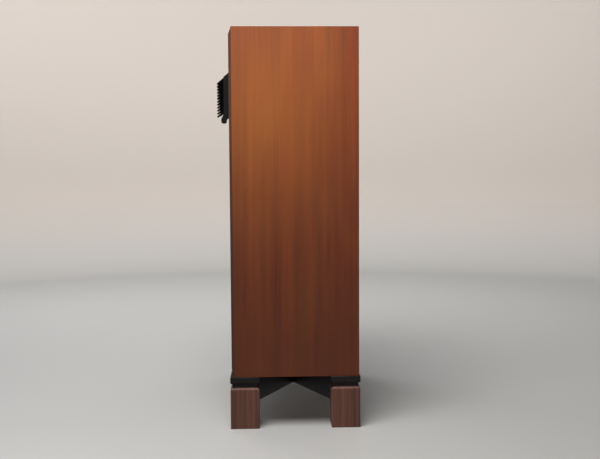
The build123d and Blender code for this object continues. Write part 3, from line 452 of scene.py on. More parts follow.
def stained_leg_block(tree):
    """Dark red-brown stained hardwood blocks, sawn and waxed: coarse grain, dull sheen."""
    finish = bpy.context.scene.monitor_finish
    colour, fibres, pits, _ = wood_grain(tree, 2, finish.leg_light, finish.leg_dark, 3.4 * MM)
    height = add_node(tree, "Math", {0: fibres, 1: pits}, operation="SUBTRACT")
    relief = add_node(tree, "Bump", {"Strength": 0.5, "Distance": 0.25 * MM, "Height": height})
    return {"Base Color": colour, "Roughness": 0.58, "Normal": relief}


def black_stained_wood(tree, axis):
    """Black stained hardwood under satin lacquer: the grain shows faintly, mostly in the sheen."""
    black = bpy.context.scene.monitor_finish.stand_black
    colour, fibres, *_ = wood_grain(tree, axis, shade(black, 1.7), black, 2.4 * MM)
    sheen = add_node(
        tree, "MapRange", {"Value": fibres, "From Min": 0.3, "From Max": 0.7, "To Min": 0.4, "To Max": 0.55}
    )
    relief = add_node(tree, "Bump", {"Strength": 0.4, "Distance": 0.12 * MM, "Height": fibres})
    return {"Base Color": colour, "Roughness": sheen, "Normal": relief}


def bare_plywood(tree, axis):
    """Unfinished birch plywood, sanded: pale, fine grain, no sheen."""
    colour, fibres, *_ = wood_grain(tree, axis, linear("#D9B787"), linear("#B98F5E"), 3.0 * MM)
    relief = add_node(tree, "Bump", {"Strength": 0.4, "Distance": 0.15 * MM, "Height": fibres})
    return {"Base Color": colour, "Roughness": 0.75, "Normal": relief}


def speckle(tree, cell, low, high, detail=3.0):
    """A fine random pattern with cells of this size: a colour between two, its height, the coordinates."""
    where = add_node(tree, "TexCoord").outputs["Object"]
    grain = add_node(
        tree, "TexNoise", {"Vector": where, "Scale": 1 / cell, "Detail": detail, "Roughness": 0.6}
    )
    share = add_node(tree, "MapRange", {"Value": grain, "From Min": 0.35, "From Max": 0.65})
    colour = add_node(tree, "Mix", {0: share, 6: low, 7: high}, data_type="RGBA").outputs[2]
    return colour, grain, where


def gritty(tree, cell, low, high, strength, depth, roughness):
    """The main shader's inputs for a speckled surface whose grains stand up by this depth."""
    colour, grain, _ = speckle(tree, cell, linear(low), linear(high))
    relief = add_node(tree, "Bump", {"Strength": strength, "Distance": depth, "Height": grain})
    return {"Base Color": colour, "Roughness": roughness, "Normal": relief}


def mottled(tree, cell, low, high, metallic, roughness):
    """The main shader's inputs for a smooth surface whose colour wanders between two."""
    colour = speckle(tree, cell, linear(low), linear(high))[0]
    return {"Base Color": colour, "Metallic": metallic, "Roughness": roughness}


def satin_baffle_lacquer(tree):
    """Black satin lacquer sprayed on board: faint orange peel, even sheen."""
    black = bpy.context.scene.monitor_finish.baffle_black
    colour, _, where = speckle(tree, 40 * MM, black, shade(black, 1.35))
    peel = add_node(tree, "TexNoise", {"Vector": where, "Scale": 1 / (3.5 * MM), "Detail": 2.0})
    relief = add_node(tree, "Bump", {"Strength": 0.3, "Distance": 0.08 * MM, "Height": peel})
    return {"Base Color": colour, "Roughness": 0.46, "Normal": relief}


def flat_black_board(tree):
    """Particle board under flat black paint: chips print through as a low relief."""
    return gritty(tree, 6 * MM, "#161514", "#262422", 0.5, 0.25 * MM, 0.78)


def crackle_paint(tree):
    """Black crackle paint baked on cast aluminium: small raised islands with dull glints."""
    colour, _, where = speckle(tree, 1.5 * MM, linear("#0F0F10"), linear("#232426"))
    cells = add_node(
        tree, "TexVoronoi", {"Vector": where, "Scale": 1 / (1.6 * MM)}, feature="SMOOTH_F1"
    ).outputs["Distance"]
    relief = add_node(tree, "Bump", {"Strength": 0.6, "Distance": 0.2 * MM, "Height": cells})
    return {"Base Color": colour, "Roughness": 0.5, "Normal": relief}


def black_anodised_sheet(tree):
    """Aluminium sheet, bead-blasted and anodised black: dead matt, only a faint bloom at the edges."""
    colour, grain, _ = speckle(tree, 2.5 * MM, linear("#040405"), linear("#090909"))
    sheen = add_node(
        tree, "MapRange", {"Value": grain, "From Min": 0.3, "From Max": 0.7, "To Min": 0.78, "To Max": 0.88}
    )
    return {"Base Color": colour, "Roughness": sheen, "IOR": 1.4}


def brushed_aluminium(tree):
    """Aluminium plate brushed along X and clear anodised: long fine lines that spread the light."""
    where = add_node(tree, "TexCoord").outputs["Object"]
    # real lines are about 0.1 mm apart; they are drawn at 0.5 mm so that they show
    drawn = add_node(tree, "Mapping", {"Vector": where, "Scale": (16.0, 2000.0, 2000.0)})
    lines = add_node(tree, "TexNoise", {"Vector": drawn, "Scale": 1.0, "Detail": 3.0})
    colour = add_node(
        tree, "Mix", {0: lines, 6: linear("#9DA0A3"), 7: linear("#CDD0D2")}, data_type="RGBA"
    ).outputs[2]
    relief = add_node(tree, "Bump", {"Strength": 0.3, "Distance": 0.03 * MM, "Height": lines})
    return {"Base Color": colour, "Metallic": 1.0, "Roughness": 0.34, "Normal": relief}


def zinc_plated_steel(tree):
    """Turned steel with yellow zinc plating: a faint straw tint in cloudy patches."""
    return mottled(tree, 12 * MM, "#9C8F66", "#B9B3A0", 1.0, 0.36)


def sintered_ferrite(tree):
    """Pressed and sintered ferrite, ground flat: charcoal grey with fine grit."""
    return gritty(tree, 1.2 * MM, "#242529", "#3B3C41", 0.5, 0.12 * MM, 0.72)


def pressed_paper(tree):
    """Felted paper pulp, pressed and doped black: matt, with pale fibres caught in it."""
    colour, _, where = speckle(tree, 5 * MM, linear("#1F1D1B"), linear("#37332F"))
    threads = add_node(
        tree, "TexNoise",
        {"Vector": where, "Scale": 1 / (1.1 * MM), "Detail": 4.0, "Roughness": 0.75, "Distortion": 2.2}
    )
    pale = add_node(tree, "MapRange", {"Value": threads, "From Min": 0.6, "From Max": 0.74, "To Max": 0.35})
    felted = add_node(tree, "Mix", {0: pale, 6: colour, 7: linear("#6E665A")}, data_type="RGBA").outputs[2]
    relief = add_node(tree, "Bump", {"Strength": 0.6, "Distance": 0.18 * MM, "Height": threads})
    return {"Base Color": felted, "Roughness": 0.86, "Normal": relief}


def open_cell_foam(tree):
    """Dark polyurethane foam, hot-pressed: tiny open cells, no shine."""
    colour, _, where = speckle(tree, 2.0 * MM, linear("#151515"), linear("#2A2A2A"))
    cells = add_node(
        tree, "TexVoronoi", {"Vector": where, "Scale": 1 / (0.9 * MM)}, feature="F1"
    ).outputs["Distance"]
    relief = add_node(tree, "Bump", {"Strength": 0.7, "Distance": 0.2 * MM, "Height": cells})
    return {"Base Color": colour, "Roughness": 0.95, "Sheen Weight": 0.08, "Normal": relief}


def impregnated_cloth(tree):
    """Cotton cloth stiffened with resin: amber brown with its weave in relief."""
    where = add_node(tree, "TexCoord").outputs["Object"]
    # threads are about 0.5 mm apart; they are drawn at 1.2 mm
    weft = add_node(
        tree, "TexWave", {"Vector": where, "Scale": 0.31 / (1.2 * MM)}, bands_direction="X"
    ).outputs["Fac"]
    warp = add_node(
        tree, "TexWave", {"Vector": where, "Scale": 0.31 / (1.2 * MM)}, bands_direction="Z"
    ).outputs["Fac"]
    weave = add_node(tree, "Math", {0: weft, 1: warp}, operation="MULTIPLY")
    colour = add_node(
        tree, "Mix", {0: weave, 6: linear("#6E4E1E"), 7: linear("#A98545")}, data_type="RGBA"
    ).outputs[2]
    relief = add_node(tree, "Bump", {"Strength": 0.6, "Distance": 0.2 * MM, "Height": weave})
    return {"Base Color": colour, "Roughness": 0.7, "Normal": relief}


def gasket_board(tree):
    """Black fibre board punched to a ring: matt with a leathery print."""
    return gritty(tree, 2.4 * MM, "#0E0E0E", "#1E1E1E", 0.6, 0.2 * MM, 0.8)


def moulded_plastic(tree, low, high):
    """Moulded phenolic plastic: fine spark-eroded texture under a satin sheen."""
    return gritty(tree, 0.8 * MM, low, high, 0.25, 0.05 * MM, 0.36)


def black_oxide_steel(tree):
    """Steel screws blackened in hot oxide: blue-black and slightly oily."""
    return mottled(tree, 1.5 * MM, "#121318", "#26272B", 0.85, 0.42)


def gold_plated_brass(tree):
    """Turned brass with a gold flash: warm and bright, a little uneven."""
    return mottled(tree, 1.0 * MM, "#C99A44", "#E3BC6A", 1.0, 0.27)


def enamelled_copper(tree, bands):
    """Wound enamelled copper wire: one bright turn beside the next."""
    where = add_node(tree, "TexCoord").outputs["Object"]
    # wire of 0.4 mm is drawn at 1 mm a turn
    turns = add_node(
        tree, "TexWave", {"Vector": where, "Scale": 0.31 / (1.0 * MM)}, bands_direction=bands
    ).outputs["Fac"]
    colour = add_node(
        tree, "Mix", {0: turns, 6: linear("#6B2E12"), 7: linear("#C0703A")}, data_type="RGBA"
    ).outputs[2]
    relief = add_node(tree, "Bump", {"Strength": 0.6, "Distance": 0.3 * MM, "Height": turns})
    return {"Base Color": colour, "Metallic": 0.7, "Roughness": 0.35, "Normal": relief}


def rolled_foil(tree):
    """Thin hard aluminium foil, pressed to a dome: bright, faintly mottled."""
    return mottled(tree, 3.0 * MM, "#BFC2C5", "#DADCDE", 1.0, 0.3)


def glass_wool(tree):
    """Glass wool batt: tangled straw-coloured fibres, no sheen."""
    colour, _, where = speckle(tree, 14 * MM, linear("#B79A4E"), linear("#E2CD8A"), detail=6.0)
    tangle = add_node(
        tree, "TexNoise",
        {"Vector": where, "Scale": 1 / (3 * MM), "Detail": 6.0, "Roughness": 0.75, "Distortion": 3.0}
    )
    relief = add_node(tree, "Bump", {"Strength": 0.9, "Distance": 1.5 * MM, "Height": tangle})
    return {"Base Color": colour, "Roughness": 1.0, "Sheen Weight": 0.2, "Normal": relief}


def wrapped_film(tree):
    """Film capacitors in yellow polyester wrap: glossy, with a faintly uneven tint."""
    return mottled(tree, 8 * MM, "#B98A1C", "#D8AC35", 0.0, 0.3)


def matt_black_tube(tree):
    """Spiral-wound paper tube painted matt black."""
    where = add_node(tree, "TexCoord").outputs["Object"]
    wraps = add_node(
        tree, "TexWave", {"Vector": where, "Scale": 0.31 / (55 * MM), "Distortion": 0.4},
        bands_direction="DIAGONAL"
    ).outputs["Fac"]
    colour = add_node(
        tree, "Mix", {0: wraps, 6: linear("#0D0D0D"), 7: linear("#191919")}, data_type="RGBA"
    ).outputs[2]
    return {"Base Color": colour, "Roughness": 0.82}


def printed_white(tree):
    """Screen-printed off-white ink, slightly uneven."""
    return mottled(tree, 1.5 * MM, "#C9C8C2", "#E6E5DF", 0.0, 0.6)


def printed_black(tree):
    """Screen-printed black ink on metal."""
    return mottled(tree, 1.5 * MM, "#0B0B0B", "#1A1A1A", 0.0, 0.6)


def studio_plaster(tree):
    """Pale painted studio floor and cove: cool and faintly glossy on the floor, warm and matt above."""
    where = add_node(tree, "TexCoord").outputs["Object"]
    parts = add_node(tree, "SeparateXYZ", {0: where})
    up = add_node(tree, "MapRange", {"Value": parts.outputs[2], "From Min": 0.02, "From Max": 0.7})
    colour = add_node(
        tree, "Mix", {0: up, 6: linear("#C4C6C5"), 7: linear("#D2CCC6")}, data_type="RGBA"
    ).outputs[2]
    gloss = add_node(tree, "MapRange", {"Value": up, "To Min": 0.42, "To Max": 0.95})
    return {"Base Color": colour, "Roughness": gloss}


# ---- Pieces -------------------------------------------------------------------------------------------


class MonitorOperator:
    """What the operators share: they need an undo step and nothing else."""

    bl_options = {"REGISTER", "UNDO"}


class MONITOR_OT_cabinet(MonitorOperator, bpy.types.Operator):
    """Veneered panels, baffle, back panel and the unseen boards inside"""

    bl_idname = "monitor.cabinet"
    bl_label = "Cabinet"

    def execute(self, context):
        edge = context.scene.monitor_sizes.edge_round
        for side in ("left", "right"):
            finished_copy(f"side_panel_{side}", edge, oiled_veneer, 2)
        for end in ("top", "bottom"):
            finished_copy(f"{end}_panel", edge, oiled_veneer, 0)
        finished_copy("front_baffle", edge / 2, satin_baffle_lacquer)
        finished_copy("back_panel", edge, flat_black_board)
        for node, axis in (("panel_cleats", 2), ("shelf_brace", 0), ("midrange_chamber", 0)):
            finished_copy(node, edge, bare_plywood, axis)
        finished_copy("port_tubes", edge, matt_black_tube)
        return {"FINISHED"}


class MONITOR_OT_back_screws(MonitorOperator, bpy.types.Operator):
    """Countersunk screws in a row round the back panel"""

    bl_idname = "monitor.back_screws"
    bl_label = "Back screws"

    def execute(self, context):
        low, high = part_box("back_panel")
        inset, radius, rise, segments = 14 * MM, 4.2 * MM, 0.9 * MM, 24
        outline = [
            (0.0, rise), (0.35 * radius, rise), (0.8 * radius, 0.75 * rise), (radius, 0.1 * rise),
            (radius, -0.5 * rise), (0.0, -0.5 * rise)
        ]
        screw = place("back_screw_pattern", lathe("back_screw", outline, (0.0, 0.0, 0.0), segments), None)
        tree, given = geometry_tree(
            "Screws along a rectangle", Width="Float", Height="Float", Count="Int", Screw="Object",
            Centre="Vector"
        )
        path = add_node(
            tree, "GeometryNodeCurvePrimitiveQuadrilateral",
            {"Width": given.outputs["Width"], "Height": given.outputs["Height"]}
        )
        upright = add_node(
            tree, "GeometryNodeTransform",
            {"Geometry": path, "Translation": given.outputs["Centre"], "Rotation": (math.pi / 2, 0.0, 0.0)}
        )
        points = add_node(
            tree, "GeometryNodeCurveToPoints",
            {"Curve": upright, "Count": given.outputs["Count"]}, mode="COUNT"
        )
        source = add_node(tree, "GeometryNodeObjectInfo", {"Object": given.outputs["Screw"]})
        spread = add_node(
            tree, "GeometryNodeInstanceOnPoints", {"Points": points, "Instance": source.outputs["Geometry"]}
        )
        end_tree(tree, spread, material(black_oxide_steel))
        row = grow(
            "back_screws", bpy.data.meshes.new("back_screws"), tree, Width=high.x - low.x - 2 * inset,
            Height=high.z - low.z - 2 * inset, Count=context.scene.monitor_sizes.back_screws, Screw=screw,
            Centre=((low.x + high.x) / 2, high.y, (low.z + high.z) / 2),
        )
        bpy.data.objects.remove(screw)
        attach(row, "cabinet")
        return {"FINISHED"}


class MONITOR_OT_cone_drivers(MonitorOperator, bpy.types.Operator):
    """Woofer and midrange: baskets, cones, caps, surrounds, spiders, gaskets and motors"""

    bl_idname = "monitor.cone_drivers"
    bl_label = "Cone drivers"

    folds = {"woofer": 6, "midrange": 3}

    def surround(self, name, segments):
        """Foam half roll between the cone's rim and the frame, free to roll as the cone moves."""
        centre, inner, outer = radii(f"{name}_surround")
        low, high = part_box(f"{name}_surround")
        rim = radii(f"{name}_cone")[2]
        sheet, gap, steps = 1.0 * MM, 1.0 * MM, 20
        lip = high.y
        roll = high.y - low.y - sheet
        start = rim + gap
        middle = start + roll
        back = [(inner, lip), (start, lip)]
        for k in range(1, steps):
            turn = math.pi * (1 - k / steps)
            back.append((middle + roll * math.cos(turn), lip - roll * math.sin(turn)))
        back += [(start + 2 * roll, lip), (outer, lip)]
        front = [(outer, lip - sheet)]
        shoulder = math.asin(sheet / (roll + sheet))
        for k in range(steps + 1):
            turn = shoulder + (math.pi - 2 * shoulder) * k / steps
            front.append((middle + (roll + sheet) * math.cos(turn), lip - (roll + sheet) * math.sin(turn)))
        front.append((inner, lip - sheet))
        piece = place(
            f"{name}_surround_foam", lathe(name, back + front, centre, segments), material(open_cell_foam)
        )
        self.follow_cone(piece, name, f"{name}_surround", centre, start, start + 2 * roll)

    def spider(self, name, segments):
        """Corrugated cloth disc between the coil former and the frame."""
        centre, inner, outer = radii(f"{name}_spider")
        low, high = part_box(f"{name}_spider")
        sheet, land, flat = 0.8 * MM, 8.5 * MM, 2 * MM
        wave = (high.y - low.y - sheet) / 2
        level = high.y - wave
        count = 12 * self.folds[name]
        near, far = [(inner, level)], [(inner, level - sheet)]
        for k in range(count + 1):
            share = k / count
            r = inner + flat + (outer - land - inner - flat) * share
            y = level + wave * math.sin(2 * math.pi * self.folds[name] * share)
            near.append((r, y))
            far.append((r, y - sheet))
        near.append((outer, level))
        far.append((outer, level - sheet))
        mesh = lathe(name, near + far[::-1], centre, segments)
        piece = place(f"{name}_spider_cloth", mesh, material(impregnated_cloth))
        self.follow_cone(piece, name, f"{name}_spider", centre, inner + flat, outer - land)

    def follow_cone(self, piece, name, node, centre, moving, fixed):
        """Hides the CAD node that the piece stands for and bakes the piece's placement into its mesh. The
        moving and fixed radii are not used.
        """
        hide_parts(node)
        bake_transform(piece)

    def execute(self, context):
        sizes = context.scene.monitor_sizes
        for name in ("woofer", "midrange"):
            finished_copy(f"{name}_basket", sizes.metal_round, crackle_paint)
            finished_copy(f"{name}_gasket", 2 * sizes.metal_round, gasket_board)
            finished_copy(f"{name}_cone", 0, pressed_paper)
            finished_copy(f"{name}_dust_cap", 0, pressed_paper)
            paint(f"{name}_voice_coil", material(enamelled_copper, "Y"))
            self.surround(name, sizes.ring_segments)
            self.spider(name, sizes.ring_segments)
        finished_copy("woofer_top_plate", sizes.metal_round, zinc_plated_steel)
        finished_copy("woofer_yoke", sizes.metal_round, zinc_plated_steel)
        finished_copy("woofer_magnet", sizes.metal_round, sintered_ferrite)
        finished_copy("midrange_motor", sizes.metal_round, sintered_ferrite)
        return {"FINISHED"}


class MONITOR_OT_horn_and_lens(MonitorOperator, bpy.types.Operator):
    """Horn, compression driver and the stack of sloping lens plates between its brackets"""

    bl_idname = "monitor.horn_and_lens"
    bl_label = "Horn and lens"

    def plate_stack(self):
        """One plate, repeated down the lens at its pitch."""
        body = merged("lens_plates")
        shells = sorted(islands(body), key=lambda shell: max(v.co.z for v in shell))
        tops = [max(v.co.z for v in shell) for shell in shells]
        pitch = (tops[-1] - tops[0]) / (len(tops) - 1)
        spare = [vertex for shell in shells[:-1] for vertex in shell]
        bmesh.ops.delete(body, geom=spare, context="VERTS")
        plate = round_edges(place("lens_plate", to_mesh("lens_plate", body), None), SHEET_ROUND)
        mesh = plate.data
        bpy.data.objects.remove(plate)
        tree, given = geometry_tree("Stack of plates", Count="Int", Step="Vector")
        line = add_node(
            tree, "GeometryNodeMeshLine",
            {"Count": given.outputs["Count"], "Offset": given.outputs["Step"]}, mode="OFFSET"
        )
        stack = add_node(
            tree, "GeometryNodeInstanceOnPoints", {"Points": line, "Instance": given.outputs["Geometry"]}
        )
        end_tree(tree, stack, material(black_anodised_sheet))
        piece = grow("lens_plate_stack", mesh, tree, Count=len(tops), Step=(0.0, 0.0, -pitch))
        belongs(piece, "lens_plates")

    def execute(self, context):
        sizes = context.scene.monitor_sizes
        self.plate_stack()
        finished_copy("lens_brackets", SHEET_ROUND, black_anodised_sheet)
        finished_copy("horn", 0, crackle_paint)
        finished_copy("compression_driver_body", sizes.metal_round, crackle_paint)
        finished_copy("compression_driver_cover", 0, crackle_paint)
        paint("compression_diaphragm", material(rolled_foil))
        finished_copy("slot_tweeter_body", sizes.metal_round, crackle_paint)
        finished_copy("slot_tweeter_wedge", 0, brushed_aluminium)
        finished_copy("slot_tweeter_magnet", sizes.metal_round, crackle_paint)
        return {"FINISHED"}


class MONITOR_OT_front_screws(MonitorOperator, bpy.types.Operator):
    """Socket-head screws of everything on the baffle"""

    bl_idname = "monitor.front_screws"
    bl_label = "Front screws"

    def execute(self, context):
        body = merged("driver_screws")
        shells = islands(body)
        boxes = [extent([v.co for v in shell]) for shell in shells]
        seats = [Vector(((low.x + high.x) / 2, low.y, (low.z + high.z) / 2)) for low, high in boxes]
        kept = set(shells[0])
        bmesh.ops.delete(body, geom=[v for v in body.verts if v not in kept], context="VERTS")
        bmesh.ops.translate(body, verts=body.verts, vec=-seats[0])
        screw = round_edges(place("screw_pattern", to_mesh("screw", body), None), 0.35 * MM)
        points = bpy.data.meshes.new("screw_seats")
        points.from_pydata(seats, [], [])
        tree, given = geometry_tree("Screws on points", Screw="Object")
        source = add_node(tree, "GeometryNodeObjectInfo", {"Object": given.outputs["Screw"]})
        turn = add_node(
            tree, "FunctionNodeRandomValue",
            {"Min": (0.0, 0.0, 0.0), "Max": (0.0, math.pi, 0.0), "Seed": 4}, data_type="FLOAT_VECTOR"
        )
        spread = add_node(
            tree, "GeometryNodeInstanceOnPoints",
            {"Points": given.outputs["Geometry"], "Instance": source.outputs["Geometry"], "Rotation": turn}
        )
        end_tree(tree, spread, material(black_oxide_steel))
        piece = grow("front_screws", points, tree, Screw=screw)
        bpy.data.objects.remove(screw)
        belongs(piece, "driver_screws")
        return {"FINISHED"}


class MONITOR_OT_level_controls(MonitorOperator, bpy.types.Operator):
    """Brushed control plate with printed scales, knobs with pointers and the attenuators behind"""

    bl_idname = "monitor.level_controls"
    bl_label = "Level controls"

    half_sweep = 150
    figures = (("0", -half_sweep), ("5", 0), ("10", half_sweep))

    def ink_level(self):
        """Where printing lies, just ahead of the control plate's face."""
        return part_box("control_plate")[0].y - 0.1 * MM

    def scales(self, sizes, knobs):
        """Marks on an arc round each knob, as printed ink."""
        centres = bpy.data.meshes.new("scale_centres")
        centres.from_pydata([(k.x, self.ink_level(), k.z) for k in knobs], [], [])
        tree, given = geometry_tree("Marks round knobs", Count="Int", Radius="Float", Mark="Vector")
        arc = add_node(
            tree, "GeometryNodeCurveArc",
            {
                "Resolution": given.outputs["Count"], "Radius": given.outputs["Radius"],
                "Start Angle": math.radians(90 - self.half_sweep),
                "Sweep Angle": math.radians(2 * self.half_sweep)
            }
        )
        spots = add_node(
            tree, "GeometryNodeCurveToPoints", {"Curve": arc, "Count": given.outputs["Count"]},
            mode="COUNT"
        )
        mark = add_node(tree, "GeometryNodeMeshCube", {"Size": given.outputs["Mark"]})
        ring = add_node(
            tree, "GeometryNodeInstanceOnPoints",
            {"Points": spots, "Instance": mark, "Rotation": spots.outputs["Rotation"]}
        )
        upright = add_node(
            tree, "GeometryNodeTransform", {"Geometry": ring, "Rotation": (math.pi / 2, 0.0, 0.0)}
        )
        spread = add_node(
            tree, "GeometryNodeInstanceOnPoints", {"Points": given.outputs["Geometry"], "Instance": upright}
        )
        end_tree(tree, spread, material(printed_black))
        piece = grow(
            "scale_marks", centres, tree, Count=sizes.scale_marks, Radius=21 * MM,
            Mark=(2.6 * MM, 0.7 * MM, 0.16 * MM)
        )
        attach(piece, "cabinet")

    def numerals(self, knobs):
        """Plain figures at the ends and the top of each scale."""
        radius, size, thickness = 27 * MM, 6 * MM, 0.08 * MM
        body = bmesh.new()
        for k in knobs:
            for figure, angle in self.figures:
                words = bpy.data.curves.new("figure", "FONT")
                words.body = figure
                words.size = size
                words.extrude = thickness
                words.align_x = "CENTER"
                words.align_y = "CENTER"
                carrier = bpy.data.objects.new("figure", words)
                bpy.context.scene.collection.objects.link(carrier)
                settled = bpy.data.meshes.new_from_object(carrier)
                turn = math.radians(angle)
                spot = (k.x + radius * math.sin(turn), self.ink_level(), k.z + radius * math.cos(turn))
                settled.transform(Matrix.Translation(spot) @ Matrix.Rotation(math.pi / 2, 4, "X"))
                body.from_mesh(settled)
                bpy.data.objects.remove(carrier)
        piece = place("scale_figures", to_mesh("scale_figures", body), material(printed_black))
        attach(piece, "cabinet")

    def knob(self, node, radius):
        """A knob with its pointer filled white."""
        plastic = material(moulded_plastic, *BLACK_PLASTIC)
        piece = round_edges(place(f"{node}_finished", to_mesh(node, merged(node)), plastic), radius)
        piece.data.materials.append(material(printed_white))
        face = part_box(node)[0].y
        for polygon in piece.data.polygons:
            if polygon.center.y < face + 0.3 * MM and polygon.normal.y < -0.7:
                polygon.material_index = 1
        belongs(piece, node)

    def execute(self, context):
        sizes = context.scene.monitor_sizes
        nodes = [f"{band}_level_knob" for band in ("midrange", "horn", "tweeter")]
        knobs = [middle_of(node) for node in nodes]
        for node in nodes:
            self.knob(node, 0.25 * MM)
        finished_copy("control_plate", SHEET_ROUND, brushed_aluminium)
        finished_copy("attenuators", sizes.metal_round, zinc_plated_steel)
        self.scales(sizes, knobs)
        self.numerals(knobs)
        return {"FINISHED"}


class MONITOR_OT_terminals(MonitorOperator, bpy.types.Operator):
    """Terminal cup with its studs, washers and fluted nuts"""

    bl_idname = "monitor.terminals"
    bl_label = "Terminals"

    def execute(self, context):
        finished_copy("terminal_cup", 0.6 * MM, moulded_plastic, *BLACK_PLASTIC)
        finished_copy("terminal_studs", 0.2 * MM, gold_plated_brass)
        for colour, plastic in (("red", ("#8E1512", "#A91F1A")), ("black", BLACK_PLASTIC)):
            finished_copy(f"{colour}_terminal_washer", 0.15 * MM, gold_plated_brass)
            finished_copy(f"{colour}_terminal_nut", 0.4 * MM, moulded_plastic, *plastic)
        return {"FINISHED"}


class MONITOR_OT_crossover(MonitorOperator, bpy.types.Operator):
    """Crossover board with its coils and capacitors"""

    bl_idname = "monitor.crossover"
    bl_label = "Crossover"

    def execute(self, context):
        finished_copy("crossover_board", 0.5 * MM, bare_plywood, 0)
        finished_copy("crossover_coils", 1.0 * MM, enamelled_copper, "Z")
        finished_copy("crossover_capacitors", 2.0 * MM, wrapped_film)
        return {"FINISHED"}


class MONITOR_OT_damping_pads(MonitorOperator, bpy.types.Operator):
    """Glass-wool pads with crowned, slightly ragged faces"""

    bl_idname = "monitor.damping_pads"
    bl_label = "Damping pads"

    def execute(self, context):
        body = merged("damping_pads")
        boxes = [extent([v.co for v in shell]) for shell in islands(body)]
        body.clear()
        cell, least = 16 * MM, 1e-6
        for low, high in boxes:
            size = high - low
            made = bmesh.ops.create_cube(body, size=1.0)["verts"]
            edges = list(dict.fromkeys(edge for vertex in made for edge in vertex.link_edges))
            for axis in range(3):
                along = [e for e in edges if abs((e.verts[0].co - e.verts[1].co)[axis]) > least]
                cuts = max(2, round(size[axis] / cell))
                got = bmesh.ops.subdivide_edges(body, edges=along, cuts=cuts, use_grid_fill=True)
                edges = [e for e in edges if e.is_valid]
                edges += [g for g in got["geom"] if isinstance(g, bmesh.types.BMEdge)]
                edges = list(dict.fromkeys(edges))
            verts = list(dict.fromkeys(vertex for edge in edges for vertex in edge.verts))
            for vertex in verts:
                self.soften(vertex, low, size)
        piece = place("damping_pads_wool", to_mesh("damping_pads", body), material(glass_wool), 80.0)
        belongs(piece, "damping_pads")
        return {"FINISHED"}

    def soften(self, vertex, low, size):
        """Rounds a pad's corners and roughens its faces, never past its own box."""
        ease, smoothest, ragged, lumps, inside = 9 * MM, 0.86, 0.14, 28, 0.998
        centre = low + size / 2
        point = Vector([low[k] + (vertex.co[k] + 0.5) * size[k] for k in range(3)])
        core = Vector([min(max(point[k], low[k] + ease), low[k] + size[k] - ease) for k in range(3)])
        away = point - core
        if away.length > 0:
            reach = ease * (smoothest + ragged * noise.noise(point * lumps))
            point = core + away.normalized() * min(reach, away.length)
        vertex.co = centre + (point - centre) * inside


class MONITOR_OT_stand(MonitorOperator, bpy.types.Operator):
    """Leg blocks, caps and crossed braces"""

    bl_idname = "monitor.stand"
    bl_label = "Stand"

    def execute(self, context):
        edge = context.scene.monitor_sizes.edge_round
        for end in ("front", "rear"):
            for side in ("left", "right"):
                finished_copy(f"leg_{end}_{side}", 1.5 * edge, stained_leg_block)
        finished_copy("leg_caps", edge, black_stained_wood, 0)
        for board in ("a", "b"):
            finished_copy(f"stand_brace_{board}", edge, black_stained_wood, 0)
        return {"FINISHED"}


